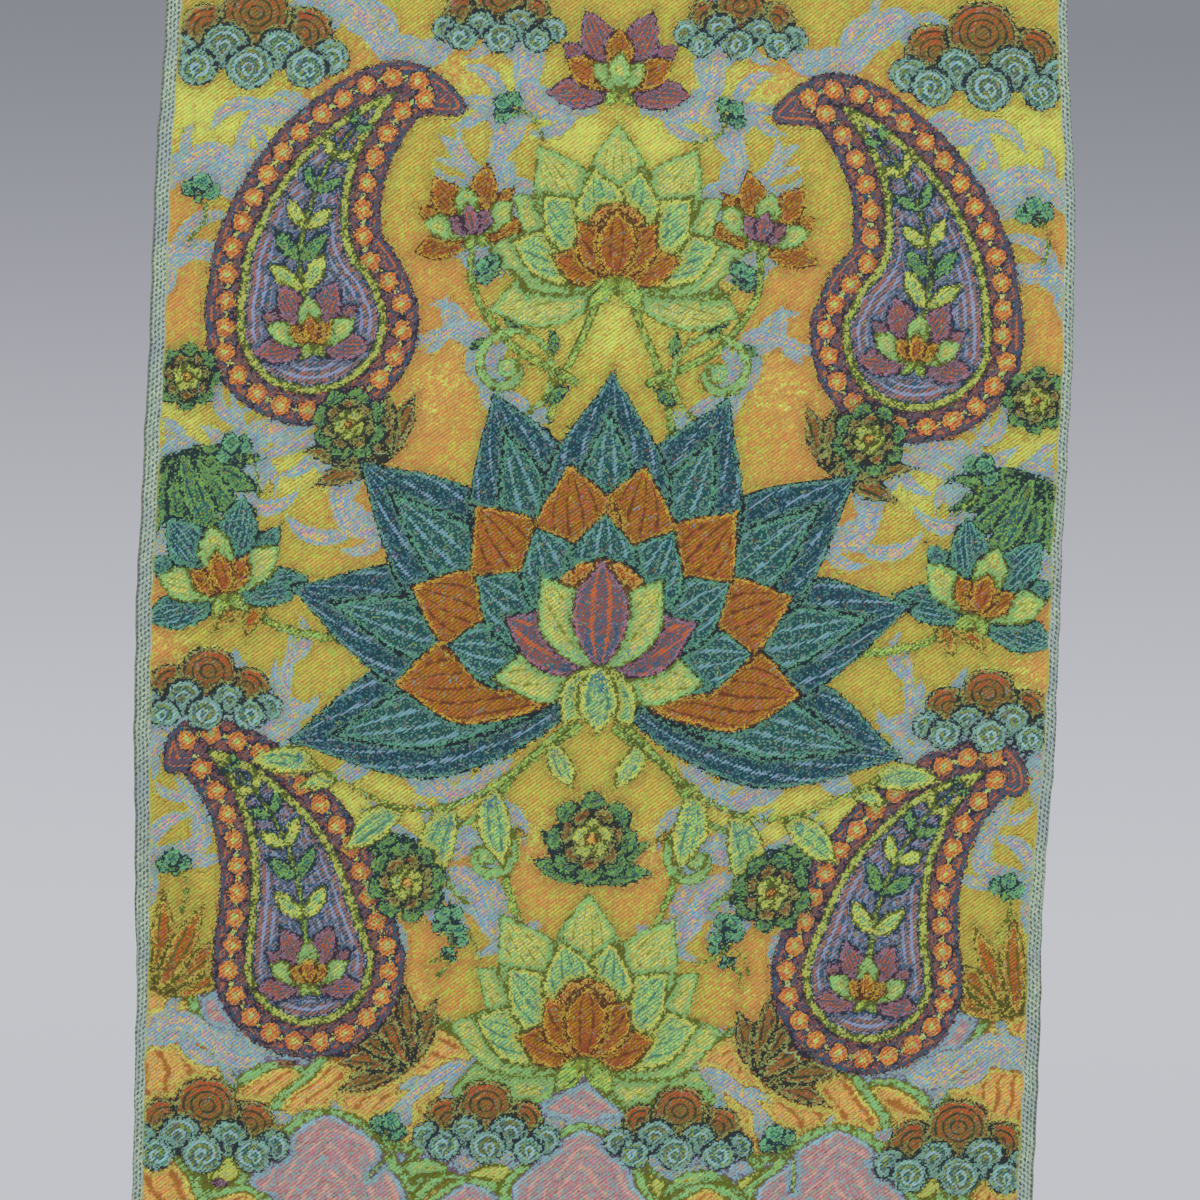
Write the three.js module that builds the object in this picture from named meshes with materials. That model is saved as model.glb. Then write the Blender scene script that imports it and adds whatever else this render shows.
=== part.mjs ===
// A small woven silk hanging panel, hung by its top edge: one cloth with its own woven selvedges.
// Millimetres, +Z up. The face looks along -Y and the back along +Y.
// The origin is the mid-point of the top edge, so the cloth hangs from z = 0 down to z = -CLOTH_LENGTH.
import * as THREE from 'three';

// Driving sizes
const CLOTH_LENGTH = 450;
const CLOTH_THICKNESS = 1.2;
const SELVEDGE_TAPER = 0.45; // the share of the thickness that is left at a side edge
const SELVEDGE_ROUNDING = 2.4; // how far in from a side edge the thickness is full
const HEM_DEPTH = 8; // the turned hem at the top and at the bottom, folded to the back
const HEM_THICKNESS = 2.3;
const HEM_STEP = 1.5; // the slope from the hem's double cloth to the single cloth

// How it hangs
const SIDE_SET_BACK = 2.6; // both side edges lie this far behind the middle
const HELD_SHARE = 0.25; // the share of every fold that is left at the held top edge
const FULL_FOLD_DOWN = 90; // the folds reach their full depth this far below the top edge

// The side edges, from the plumb line through the origin, every STATION_STEP down the cloth
const STATION_STEP = 45;
const OUTLINE = [
  { left: -145.4, right: 145.7 },
  { left: -146.6, right: 146.9 },
  { left: -148.4, right: 149.7 },
  { left: -148.6, right: 151.0 },
  { left: -149.4, right: 150.0 },
  { left: -150.4, right: 149.3 },
  { left: -150.1, right: 148.7 },
  { left: -148.8, right: 146.5 },
  { left: -147.0, right: 147.1 },
  { left: -146.5, right: 146.3 },
  { left: -146.2, right: 146.0 },
];

// Soft folds: the two ends of each crest as across and down, how far it stands out to the front
// (a minus sign lies back), and its reach to either side of the crest
const FOLDS = [
  { from: [-118, 40], to: [-96, 260], out: 2.2, reach: 34 },
  { from: [-40, 120], to: [-64, 430], out: -2.0, reach: 42 },
  { from: [38, 20], to: [16, 300], out: 1.6, reach: 38 },
  { from: [104, 70], to: [86, 250], out: -2.4, reach: 36 },
  { from: [128, 250], to: [70, 445], out: 2.6, reach: 40 },
  { from: [-20, 330], to: [40, 450], out: 1.8, reach: 40 },
  { from: [-150, 292], to: [-149, 352], out: -3.6, reach: 15 },
  { from: [149, 352], to: [148, 440], out: -3.0, reach: 16 },
  { from: [152, 96], to: [151, 170], out: 2.0, reach: 18 },
  { from: [-150, 150], to: [-151, 225], out: 1.6, reach: 18 },
];

// The grid of the solid: finer beside the edges, where the cloth curls and is hemmed
const EDGE_COLUMNS = [0, SELVEDGE_ROUNDING, 6, 12, 19];
const MIDDLE_COLUMNS = 22;
const HEM_ROWS = [0, HEM_DEPTH, HEM_DEPTH + HEM_STEP];
const MIDDLE_ROWS = 38;

const CLOTH_COLOUR = 0xa8935a;
const CLOTH_ROUGHNESS = 0.72;

/** A smooth curve through evenly spaced values, read at a place counted in steps. */
function throughStations(values, place) {
  const last = values.length - 1;
  const index = Math.min(Math.max(Math.floor(place), 0), last - 1);
  const t = place - index;
  const before = values[Math.max(index - 1, 0)];
  const start = values[index];
  const end = values[index + 1];
  const after = values[Math.min(index + 2, last)];
  const linear = 0.5 * (end - before);
  const square = before - 2.5 * start + 2 * end - 0.5 * after;
  const cube = 0.5 * (after - before) + 1.5 * (start - end);
  return start + t * (linear + t * (square + t * cube));
}

function leftEdge(down) {
  return throughStations(OUTLINE.map((row) => row.left), down / STATION_STEP);
}

function rightEdge(down) {
  return throughStations(OUTLINE.map((row) => row.right), down / STATION_STEP);
}

/** The distance from a point of the cloth to a fold's crest. */
function crestDistance(fold, across, down) {
  const crest = new THREE.Line3(
    new THREE.Vector3(fold.from[0], fold.from[1], 0),
    new THREE.Vector3(fold.to[0], fold.to[1], 0),
  );
  const point = new THREE.Vector3(across, down, 0);
  return crest.closestPointToPoint(point, true, new THREE.Vector3()).distanceTo(point);
}

/** How far the middle of the cloth's thickness stands out to the front at a point. */
function standsOut(across, down) {
  const halfWidth = 0.5 * (rightEdge(down) - leftEdge(down));
  let out = -SIDE_SET_BACK * (across / halfWidth) ** 2;
  for (const fold of FOLDS) {
    out += fold.out * Math.exp(-((crestDistance(fold, across, down) / fold.reach) ** 2));
  }
  const slack = THREE.MathUtils.smoothstep(down, 0, FULL_FOLD_DOWN);
  return out * (HELD_SHARE + (1 - HELD_SHARE) * slack);
}

/** The thickness behind the face at a point: thin at the selvedges, double at the two hems. */
function thicknessAt(fromSide, fromEnd) {
  const rounding = Math.min(fromSide / SELVEDGE_ROUNDING, 1);
  const hemShare = 1 - THREE.MathUtils.smoothstep(fromEnd, HEM_DEPTH, HEM_DEPTH + HEM_STEP);
  const full = CLOTH_THICKNESS + (HEM_THICKNESS - CLOTH_THICKNESS) * hemShare;
  return full * (SELVEDGE_TAPER + (1 - SELVEDGE_TAPER) * rounding);
}

/** The places of the grid lines over a length that has its own lines beside both ends. */
function gridPlaces(length, endPlaces, middleCount) {
  const first = endPlaces[endPlaces.length - 1];
  const places = [...endPlaces];
  for (let i = 1; i < middleCount; i += 1) {
    places.push(first + ((length - 2 * first) * i) / middleCount);
  }
  return [...places, ...endPlaces.map((place) => length - place).reverse()];
}

/** One closed sheet: a grid for the face, a grid for the back and a strip round the rim. */
function clothGeometry() {
  const downs = gridPlaces(CLOTH_LENGTH, HEM_ROWS, MIDDLE_ROWS);
  const positions = [];
  const rows = downs.length;
  let columns = 0;
  for (const isBack of [false, true]) {
    for (const down of downs) {
      const left = leftEdge(down);
      const width = rightEdge(down) - left;
      const places = gridPlaces(width, EDGE_COLUMNS, MIDDLE_COLUMNS);
      columns = places.length;
      for (const place of places) {
        const across = left + place;
        const fromSide = Math.min(place, width - place);
        const fromEnd = Math.min(down, CLOTH_LENGTH - down);
        const thickness = thicknessAt(fromSide, fromEnd);
        const shift = 0.5 * Math.min(thickness, CLOTH_THICKNESS);
        const face = -standsOut(across, down) - shift;
        positions.push(across, isBack ? face + thickness : face, -down);
      }
    }
  }

  const backStart = rows * columns;
  const indices = [];
  const addQuad = (a, b, c, d) => indices.push(a, b, c, a, c, d);
  for (let row = 0; row < rows - 1; row += 1) {
    for (let column = 0; column < columns - 1; column += 1) {
      const corner = row * columns + column;
      addQuad(corner, corner + columns, corner + columns + 1, corner + 1);
      const behind = backStart + corner;
      addQuad(behind, behind + 1, behind + columns + 1, behind + columns);
    }
  }
  for (let column = 0; column < columns - 1; column += 1) {
    const top = column;
    addQuad(top, top + 1, backStart + top + 1, backStart + top);
    const bottom = (rows - 1) * columns + column;
    addQuad(bottom, backStart + bottom, backStart + bottom + 1, bottom + 1);
  }
  for (let row = 0; row < rows - 1; row += 1) {
    const left = row * columns;
    addQuad(left, backStart + left, backStart + left + columns, left + columns);
    const right = left + columns - 1;
    addQuad(right, right + columns, backStart + right + columns, backStart + right);
  }

  const geometry = new THREE.BufferGeometry();
  geometry.setAttribute('position', new THREE.Float32BufferAttribute(positions, 3));
  geometry.setIndex(indices);
  geometry.computeVertexNormals();
  return geometry;
}

/** The woven panel as one named mesh. */
function brocadePanel() {
  const material = new THREE.MeshStandardMaterial({
    color: CLOTH_COLOUR,
    roughness: CLOTH_ROUGHNESS,
    metalness: 0,
  });
  const mesh = new THREE.Mesh(clothGeometry(), material);
  mesh.name = 'brocade_panel';
  return mesh;
}

const hanging = new THREE.Group();
hanging.add(brocadePanel());

export default hanging;
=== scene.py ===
"""A small woven silk hanging panel with a lotus, paisley and cloud design, in a plain studio.

The cloth is one closed thin sheet in the folds in which it hangs. Its design is charted in
millimetres as signed distances to each area of yarn, and the finish turns the chart into twill.
A place is told by how far it lies to the right of the middle line and below the top edge, and a
heading in degrees clockwise from upright.
"""
from dataclasses import dataclass, field, replace
from enum import Enum, IntEnum
import logging
import math

import bmesh
import bpy
from mathutils import Matrix, Vector
import numpy as np


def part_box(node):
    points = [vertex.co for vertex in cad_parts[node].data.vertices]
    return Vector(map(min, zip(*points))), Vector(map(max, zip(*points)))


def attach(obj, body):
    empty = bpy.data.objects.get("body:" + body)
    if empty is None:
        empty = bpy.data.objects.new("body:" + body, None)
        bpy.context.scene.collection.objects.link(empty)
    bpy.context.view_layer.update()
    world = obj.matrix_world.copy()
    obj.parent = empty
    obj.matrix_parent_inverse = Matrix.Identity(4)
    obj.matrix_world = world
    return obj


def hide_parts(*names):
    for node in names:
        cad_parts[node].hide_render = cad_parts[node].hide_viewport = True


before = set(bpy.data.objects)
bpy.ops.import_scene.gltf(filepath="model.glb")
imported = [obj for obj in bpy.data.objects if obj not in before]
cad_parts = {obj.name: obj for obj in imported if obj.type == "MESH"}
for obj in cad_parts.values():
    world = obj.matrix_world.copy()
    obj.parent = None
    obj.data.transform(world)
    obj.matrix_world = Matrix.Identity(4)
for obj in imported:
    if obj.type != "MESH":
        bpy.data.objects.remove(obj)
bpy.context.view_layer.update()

LOG = logging.getLogger("hanging_panel")

PANEL_NODE = "brocade_panel"
MM = 0.001
HALF_WIDTH = 150.0
SHEDS = 8
CARD_ROWS = 32

Place = tuple[float, float]
Colour = tuple[float, float, float]
Rows = tuple[tuple[float, ...], ...]


def linear(colour: Colour) -> Colour:
    """Turns a display colour into the renderer's linear one.

    Args:
        colour: red, green and blue from 0 to 255, as they look on a screen.

    Returns:
        The same colour as linear light, from 0 to 1.
    """
    shares = [part / 255 for part in colour]
    return tuple(s / 12.92 if s <= 0.04045 else ((s + 0.055) / 1.055) ** 2.4 for s in shares)


def opaque(colour: Colour) -> tuple[float, float, float, float]:
    """A display colour as a shader's constant."""
    return (*linear(colour), 1.0)


def through_stations(values: np.ndarray, place: np.ndarray) -> np.ndarray:
    """Reads a smooth curve through evenly spaced values.

    Args:
        values: the value at each station.
        place: where to read it, counted in stations.

    Returns:
        The curve's value at each place.
    """
    last = len(values) - 1
    index = np.clip(np.floor(place).astype(int), 0, last - 1)
    t = place - index
    before = values[np.maximum(index - 1, 0)]
    start, end = values[index], values[index + 1]
    after = values[np.minimum(index + 2, last)]
    bend = before - 2.5 * start + 2 * end - 0.5 * after
    twist = 0.5 * (after - before) + 1.5 * (start - end)
    return start + t * (0.5 * (end - before) + t * (bend + t * twist))


def smooth_step(value: np.ndarray, low: float, high: float) -> np.ndarray:
    """Rises smoothly from 0 at the low value to 1 at the high one."""
    t = np.clip((value - low) / (high - low), 0, 1)
    return t * t * (3 - 2 * t)


def ahead_of(start: Place, heading: float, reach: float) -> Place:
    """The place some way ahead of a start, on a heading."""
    turn = math.radians(heading)
    return start[0] + reach * math.sin(turn), start[1] - reach * math.cos(turn)


@dataclass(frozen=True)
class Fold:
    """A soft ridge or trough of the hanging cloth, in millimetres across and down.

    A crest runs from start to end, stands out to the front by out, and falls off over reach.
    """

    start: Place
    end: Place
    out: float
    reach: float

    def height(self, across: np.ndarray, down: np.ndarray) -> np.ndarray:
        """How far the fold stands out at each point.

        Args:
            across: millimetres to the right of the plumb line.
            down: millimetres below the top edge.

        Returns:
            Millimetres to the front, and below zero in a trough.
        """
        run_across, run_down = self.end[0] - self.start[0], self.end[1] - self.start[1]
        from_across, from_down = across - self.start[0], down - self.start[1]
        share = (from_across * run_across + from_down * run_down) / (run_across**2 + run_down**2)
        share = np.clip(share, 0, 1)
        gap = np.hypot(from_across - share * run_across, from_down - share * run_down)
        return self.out * np.exp(-((gap / self.reach) ** 2))


@dataclass(frozen=True)
class ClothForm:
    """The shape in which the cloth hangs, in millimetres, the same as the solid's.

    A ripple is a small wave of a selvedge: how far it goes out, its pitch over a turn and its
    start.
    """

    length: float
    thickness: float = 1.2
    selvedge_taper: float = 0.45
    selvedge_rounding: float = 2.4
    hem_depth: float = 8.0
    hem_thickness: float = 2.3
    hem_step: float = 1.5
    side_set_back: float = 2.6
    held_share: float = 0.25
    full_fold_down: float = 90.0
    station_step: float = 45.0
    left: tuple[float, ...] = (
        -145.4, -146.6, -148.4, -148.6, -149.4, -150.4, -150.1, -148.8, -147.0, -146.5, -146.2)
    right: tuple[float, ...] = (
        145.7, 146.9, 149.7, 151.0, 150.0, 149.3, 148.7, 146.5, 147.1, 146.3, 146.0)
    left_ripples: Rows = ((1.0, 3.1, 0.0), (0.7, 1.73, 1.0), (0.9, 7.9, 2.0))
    right_ripples: Rows = ((1.0, 2.7, 0.6), (0.8, 6.7, 0.0), (0.6, 1.6, 0.0))
    folds: tuple[Fold, ...] = (
        Fold((-118, 40), (-96, 260), 2.2, 34),
        Fold((-40, 120), (-64, 430), -2.0, 42),
        Fold((38, 20), (16, 300), 1.6, 38),
        Fold((104, 70), (86, 250), -2.4, 36),
        Fold((128, 250), (70, 445), 2.6, 40),
        Fold((-20, 330), (40, 450), 1.8, 40),
        Fold((-150, 292), (-149, 352), -3.6, 15),
        Fold((149, 352), (148, 440), -3.0, 16),
        Fold((152, 96), (151, 170), 2.0, 18),
        Fold((-150, 150), (-151, 225), 1.6, 18),
    )
    creases: tuple[Fold, ...] = (
        Fold((-150, 229), (-20, 224), 0.30, 4.5),
        Fold((10, 223), (150, 228), 0.26, 4.0),
        Fold((-128, 18), (-112, 74), -0.45, 7.0),
        Fold((120, 20), (136, 66), -0.40, 7.0),
        Fold((-142, 300), (-120, 330), 0.50, 6.0),
        Fold((144, 372), (122, 398), 0.45, 6.0),
        Fold((-30, 410), (-12, 446), -0.40, 8.0),
        Fold((62, 404), (84, 444), 0.40, 8.0),
    )
    ripple_share: float = 0.112
    bulge: float = 1.0
    bulge_down: float = 76.0
    bulge_reach: float = 34.0
    pucker: float = 0.34
    pucker_pitch: float = 5.3
    pucker_sway: float = 1.4
    pucker_sway_pitch: float = 31.0
    pucker_reach: float = 9.0

    def sides(self, down: np.ndarray) -> tuple[np.ndarray, np.ndarray]:
        """The two side edges, with the small unevenness of a woven selvedge.

        Args:
            down: millimetres below the top edge.

        Returns:
            The left and the right edge, in millimetres from the plumb line.
        """
        place = down / self.station_step
        left, right = (
            through_stations(np.array(edge), place) + self.ripple_share * sum(
                out * np.sin(down / pitch + start) for out, pitch, start in ripples)
            for edge, ripples in ((self.left, self.left_ripples), (self.right, self.right_ripples)))
        from_bulge = (down - self.bulge_down) / self.bulge_reach
        return left, right + self.bulge * np.exp(-(from_bulge**2))

    def stands_out(self, across: np.ndarray, down: np.ndarray, share: np.ndarray) -> np.ndarray:
        """How far the cloth's middle layer stands out to the front.

        Args:
            across: millimetres to the right of the plumb line.
            down: millimetres below the top edge.
            share: the place between the edges, from -1 at the left to 1 at the right.

        Returns:
            Millimetres to the front.
        """
        out = -self.side_set_back * share**2
        for fold in self.folds + self.creases:
            out = out + fold.height(across, down)
        slack = self.held_share + (1 - self.held_share) * smooth_step(down, 0, self.full_fold_down)
        sway = self.pucker_sway * np.sin(down / self.pucker_sway_pitch)
        wave = np.sin(down / self.pucker_pitch + sway) * np.sign(share)
        near_side = np.exp(-(((1 - np.abs(share)) * HALF_WIDTH / self.pucker_reach) ** 2))
        return (out + self.pucker * wave * near_side) * slack

    def thickness_at(self, from_side: np.ndarray, from_end: np.ndarray) -> np.ndarray:
        """The thickness: thin at the selvedges, double at the two hems.

        Args:
            from_side: millimetres in from the nearer side edge.
            from_end: millimetres in from the nearer of the top and the bottom edge.

        Returns:
            Millimetres.
        """
        hem = 1 - smooth_step(from_end, self.hem_depth, self.hem_depth + self.hem_step)
        full = self.thickness + (self.hem_thickness - self.thickness) * hem
        rounding = np.sqrt(np.clip(from_side / self.selvedge_rounding, 0, 1))
        return full * (self.selvedge_taper + (1 - self.selvedge_taper) * rounding)


class Area(IntEnum):
    """An area of the design that one set of yarns weaves. Its value is its row in the card."""

    GROUND = 0
    NAVY_PETAL = 1
    TEAL_PETAL = 2
    RUST_PETAL = 3
    LIME_PETAL = 4
    JADE_PETAL = 5
    WINE_PETAL = 6
    RAY_FIELD = 7
    TEAL_LEAF = 8
    STEM = 9
    MIST = 10
    CLOUD_BROWN = 11
    CLOUD_TEAL = 12
    BEAD = 13
    WAVE_LIME = 14
    WAVE_JADE = 15
    ROCK = 16
    PEACH = 17
    POD = 18
    SEED = 19
    SPRIG = 20
    RUST_LEAF = 21
    WINE_FIELD = 22
    RUST_CURL = 23


@dataclass(frozen=True)
class Yarns:
    """The yarns of one area: display colours, shares from 0 to 1 and widths in millimetres.

    The rise and the fall are the two lines of the twill. Flecks are single floats of another
    yarn. The turn is the yarn that a shaded part turns to. Lines follow the motif's own veins.
    The edge runs just inside the outline, and the band inside the edge.
    """

    rise: Colour
    fall: Colour
    fleck: Colour
    fleck_share: float
    turn: Colour
    edge: Colour = (0, 0, 0)
    edge_width: float = 0.0
    band: Colour = (0, 0, 0)
    band_width: float = 0.0
    line: Colour = (0, 0, 0)
    line_share: float = 0.0


YARN_CARD: dict[Area, Yarns] = {
    Area.GROUND: Yarns((182, 164, 86), (170, 144, 68), (164, 172, 86), 0.26, (190, 192, 104)),
    Area.NAVY_PETAL: Yarns(
        (20, 54, 74), (12, 62, 60), (72, 112, 122), 0.26, (70, 68, 64), (12, 26, 38), 0.5,
        (96, 140, 118), 0.6, (122, 148, 166), 0.16),
    Area.TEAL_PETAL: Yarns(
        (26, 68, 76), (28, 78, 70), (98, 134, 124), 0.24, (100, 124, 62), (18, 36, 42), 0.5,
        (92, 144, 118), 0.7, (114, 150, 156), 0.24),
    Area.RUST_PETAL: Yarns(
        (150, 108, 26), (120, 82, 12), (156, 84, 64), 0.22, (138, 72, 40), (84, 46, 24), 0.5,
        (176, 150, 66), 0.6, (98, 56, 30), 0.18),
    Area.LIME_PETAL: Yarns(
        (190, 186, 110), (162, 166, 84), (138, 174, 122), 0.20, (94, 142, 130), (98, 104, 34), 0.6,
        (138, 176, 114), 1.1, (118, 126, 46), 0.12),
    Area.JADE_PETAL: Yarns(
        (138, 176, 118), (106, 150, 106), (178, 184, 104), 0.22, (66, 112, 124), (84, 96, 40), 0.6,
        (178, 184, 100), 0.9, (74, 118, 98), 0.18),
    Area.WINE_PETAL: Yarns(
        (106, 76, 88), (144, 88, 60), (60, 92, 114), 0.34, (50, 82, 106), (56, 40, 54), 0.5,
        (144, 112, 126), 0.6, (170, 96, 60), 0.26),
    Area.RAY_FIELD: Yarns(
        (42, 76, 104), (50, 92, 106), (142, 116, 114), 0.14, (150, 104, 92), (30, 48, 62), 0.5,
        (0, 0, 0), 0.0, (138, 146, 170), 0.42),
    Area.TEAL_LEAF: Yarns(
        (60, 112, 88), (46, 90, 78), (120, 150, 76), 0.28, (96, 106, 50), (28, 48, 50), 0.6,
        (110, 150, 92), 0.6, (36, 62, 66), 0.20),
    Area.STEM: Yarns(
        (144, 176, 102), (112, 146, 66), (178, 184, 98), 0.22, (118, 128, 50), (84, 94, 38), 0.5),
    Area.MIST: Yarns(
        (190, 140, 152), (116, 156, 168), (192, 178, 108), 0.32, (142, 170, 180), (0, 0, 0), 0.0,
        (140, 168, 168), 0.5, (120, 158, 172), 0.20),
    Area.CLOUD_BROWN: Yarns(
        (122, 100, 50), (94, 88, 42), (152, 84, 48), 0.26, (158, 84, 46), (40, 42, 36), 0.6,
        (142, 150, 92), 0.5, (56, 58, 40), 0.30),
    Area.CLOUD_TEAL: Yarns(
        (72, 108, 96), (50, 84, 86), (130, 146, 80), 0.28, (108, 104, 52), (34, 44, 50), 0.6,
        (122, 158, 144), 0.8, (142, 172, 174), 0.36),
    Area.BEAD: Yarns((184, 186, 112), (162, 166, 88), (148, 178, 124), 0.20, (190, 150, 90)),
    Area.WAVE_LIME: Yarns(
        (188, 190, 106), (164, 174, 88), (144, 178, 116), 0.16, (94, 144, 136), (98, 104, 32), 0.8,
        (136, 178, 120), 1.2, (116, 122, 42), 0.20),
    Area.WAVE_JADE: Yarns(
        (138, 178, 122), (112, 160, 124), (178, 186, 104), 0.18, (104, 146, 170), (98, 104, 32), 0.8,
        (182, 186, 102), 1.2, (182, 186, 102), 0.30),
    Area.ROCK: Yarns(
        (174, 128, 138), (168, 124, 110), (136, 156, 162), 0.34, (194, 150, 104), (114, 100, 120),
        0.4, (142, 172, 178), 1.2, (188, 154, 142), 0.24),
    Area.PEACH: Yarns(
        (202, 156, 98), (188, 142, 82), (182, 176, 94), 0.24, (174, 170, 88), (144, 104, 52), 0.4,
        (190, 184, 100), 0.9, (152, 102, 50), 0.30),
    Area.POD: Yarns(
        (166, 108, 40), (124, 80, 28), (168, 66, 40), 0.12, (168, 66, 40), (88, 52, 26), 0.6,
        (184, 156, 84), 0.8),
    Area.SEED: Yarns(
        (186, 174, 102), (158, 144, 78), (116, 130, 62), 0.30, (168, 66, 40), (96, 62, 30), 0.5),
    Area.SPRIG: Yarns(
        (72, 128, 108), (48, 98, 92), (112, 152, 98), 0.22, (64, 98, 54), (28, 52, 56), 0.6,
        (114, 164, 124), 0.7),
    Area.RUST_LEAF: Yarns(
        (162, 104, 42), (124, 90, 32), (166, 70, 44), 0.14, (106, 66, 58), (84, 80, 30), 0.6,
        (174, 160, 82), 0.7, (84, 86, 32), 0.26),
    Area.WINE_FIELD: Yarns(
        (88, 68, 84), (116, 74, 66), (48, 82, 106), 0.36, (58, 86, 84), (40, 38, 52), 0.5,
        (0, 0, 0), 0.0, (164, 102, 70), 0.30),
    Area.RUST_CURL: Yarns((190, 120, 70), (166, 98, 56), (186, 160, 88), 0.22, (190, 132, 80)),
}
STRAY_WEFTS: tuple[Colour, ...] = (
    (30, 56, 78), (176, 184, 100), (158, 96, 42), (128, 160, 176), (60, 104, 88), (178, 134, 146),
)


@dataclass(frozen=True)
class Shape:
    """A shape on the chart, known only at the points near it."""

    near: np.ndarray
    distance: np.ndarray
    along: np.ndarray
    across: np.ndarray

    def inset(self, by: float) -> "Shape":
        """The same shape with its edge drawn in by some millimetres."""
        return replace(self, distance=self.distance + by)


@dataclass
class Chart:
    """The loom's chart at a set of points: for each shed, the distance to its nearest area.

    Distances are in millimetres and below zero inside. Touching areas lie in different sheds,
    so that every outline stays sharp between the points. Shed 0 is the ground.
    """

    across: np.ndarray
    down: np.ndarray
    reach: float = 6.0
    clearance: float = 2.7
    touching: float = 0.6
    overhang: float = 0.9
    shadow_reach: float = 2.4
    crag: float = 1.1
    sheds: list[np.ndarray] = field(init=False)
    areas: list[np.ndarray] = field(init=False)
    veins: np.ndarray = field(init=False)
    shade: np.ndarray = field(init=False)
    dim: np.ndarray = field(init=False)

    def __post_init__(self) -> None:
        """Starts with ground all over."""
        count = self.across.size
        self.sheds = [np.full(count, -self.reach)] + [np.full(count, self.reach) for _ in range(SHEDS)]
        self.areas = [np.zeros(count) for _ in range(SHEDS + 1)]
        self.veins = np.full(count, 0.5)
        self.shade, self.dim = np.zeros(count), np.zeros(count)

    def within(self, corner: Place, opposite: Place, margin: float) -> np.ndarray:
        """The points in a box about two places.

        Args:
            corner: one place.
            opposite: the other.
            margin: how far the box goes beyond them, apart from the chart's own reach.

        Returns:
            The points' numbers.
        """
        wide = margin + self.reach
        low = min(corner[0], opposite[0]) - wide, min(corner[1], opposite[1]) - wide
        high = max(corner[0], opposite[0]) + wide, max(corner[1], opposite[1]) + wide
        inside = (self.across > low[0]) & (self.across < high[0])
        return np.flatnonzero(inside & (self.down > low[1]) & (self.down < high[1]))

    def is_open(self, place: Place, radius: float) -> bool:
        """Whether nothing but ground lies within a radius of a place."""
        near = self.within(place, place, radius - self.reach)
        return near.size > 0 and bool(np.all(self.sheds[0][near] < 0.5 - self.reach))

    def lay(
        self, area: Area, shape: Shape, veins: np.ndarray | float = 0.5,
        shade: np.ndarray | float = 0.0, shadow: float = 0.7,
    ) -> None:
        """Lays a shape over what is there, in the shed where the fewest areas touch it.

        Args:
            area: the yarns of the shape.
            shape: where it lies.
            veins: a count that rises by one from each vein to the next, or 0.5 for none.
            shade: the share of the turn yarn, from 0 to 1.
            shadow: how much darker what lies just outside its edge turns.
        """
        near, distance = shape.near, shape.distance
        close = np.abs(distance) < self.clearance
        crowd = [np.count_nonzero(close & (shed[near] < self.touching)) for shed in self.sheds[1:]]
        best = int(np.argmin(crowd)) + 1
        for number, shed in enumerate(self.sheds):
            if number != best:
                shed[near] = np.maximum(shed[near], -distance)
        own = self.sheds[best]
        beside = distance < self.clearance
        parted = np.where(beside, np.maximum(own[near], np.abs(distance)), own[near])
        own[near] = np.minimum(parted, distance)
        self.areas[best][near[beside]] = float(area)
        inside = distance < self.overhang
        self.veins[near[inside]] = np.broadcast_to(veins, distance.shape)[inside]
        self.shade[near[inside]] = np.broadcast_to(shade, distance.shape)[inside]
        darker = shadow * np.exp(-((np.maximum(distance, 0) / self.shadow_reach) ** 2))
        self.dim[near] = np.where(distance < 0, 0.0, np.maximum(self.dim[near], darker))

    def about(
        self, foot: Place, heading: float, length: float, margin: float,
    ) -> tuple[np.ndarray, np.ndarray, np.ndarray]:
        """The points about a straight middle line.

        Args:
            foot: where the line starts.
            heading: of the line.
            length: of the line.
            margin: how far to either side of it matters.

        Returns:
            The points' numbers, and how far along the line and aside from it they lie.
        """
        turn = math.radians(heading)
        near = self.within(foot, ahead_of(foot, heading, length), margin)
        across, down = self.across[near] - foot[0], self.down[near] - foot[1]
        along = across * math.sin(turn) - down * math.cos(turn)
        return near, along, across * math.cos(turn) + down * math.sin(turn)

    def blade(
        self, foot: Place, heading: float, length: float, width: float, belly: float = 0.52,
        bend: float = 0.0,
    ) -> Shape:
        """A petal or leaf: round at the foot, widest at the belly, drawn out to a point.

        Args:
            foot: where it grows from.
            heading: from foot to point.
            length: from foot to point.
            width: at the belly.
            belly: how far along the widest place is, as a share of the length.
            bend: how far the point is bent aside, as a share of the length.

        Returns:
            The shape, with along from 0 to 1 and across from -1 to 1.
        """
        near, along, aside = self.about(foot, heading, length, 0.5 * width + abs(bend) * length)
        share = np.clip(along / length, 0, 1)
        aside = aside - bend * length * share**2
        swell = np.sin(0.5 * math.pi * np.clip(share / belly, 0, 1)) ** 0.6
        taper = (0.5 + 0.5 * np.cos(math.pi * np.clip((share - belly) / (1 - belly), 0, 1))) ** 0.62
        half = 0.5 * width * np.where(share < belly, swell, taper)
        past = np.maximum(np.maximum(along - length, -along), 0)
        distance = np.where(past > 0, np.hypot(past, aside), 0.86 * (np.abs(aside) - half))
        return Shape(near, distance, share, aside / np.maximum(half, 0.6))

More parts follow.
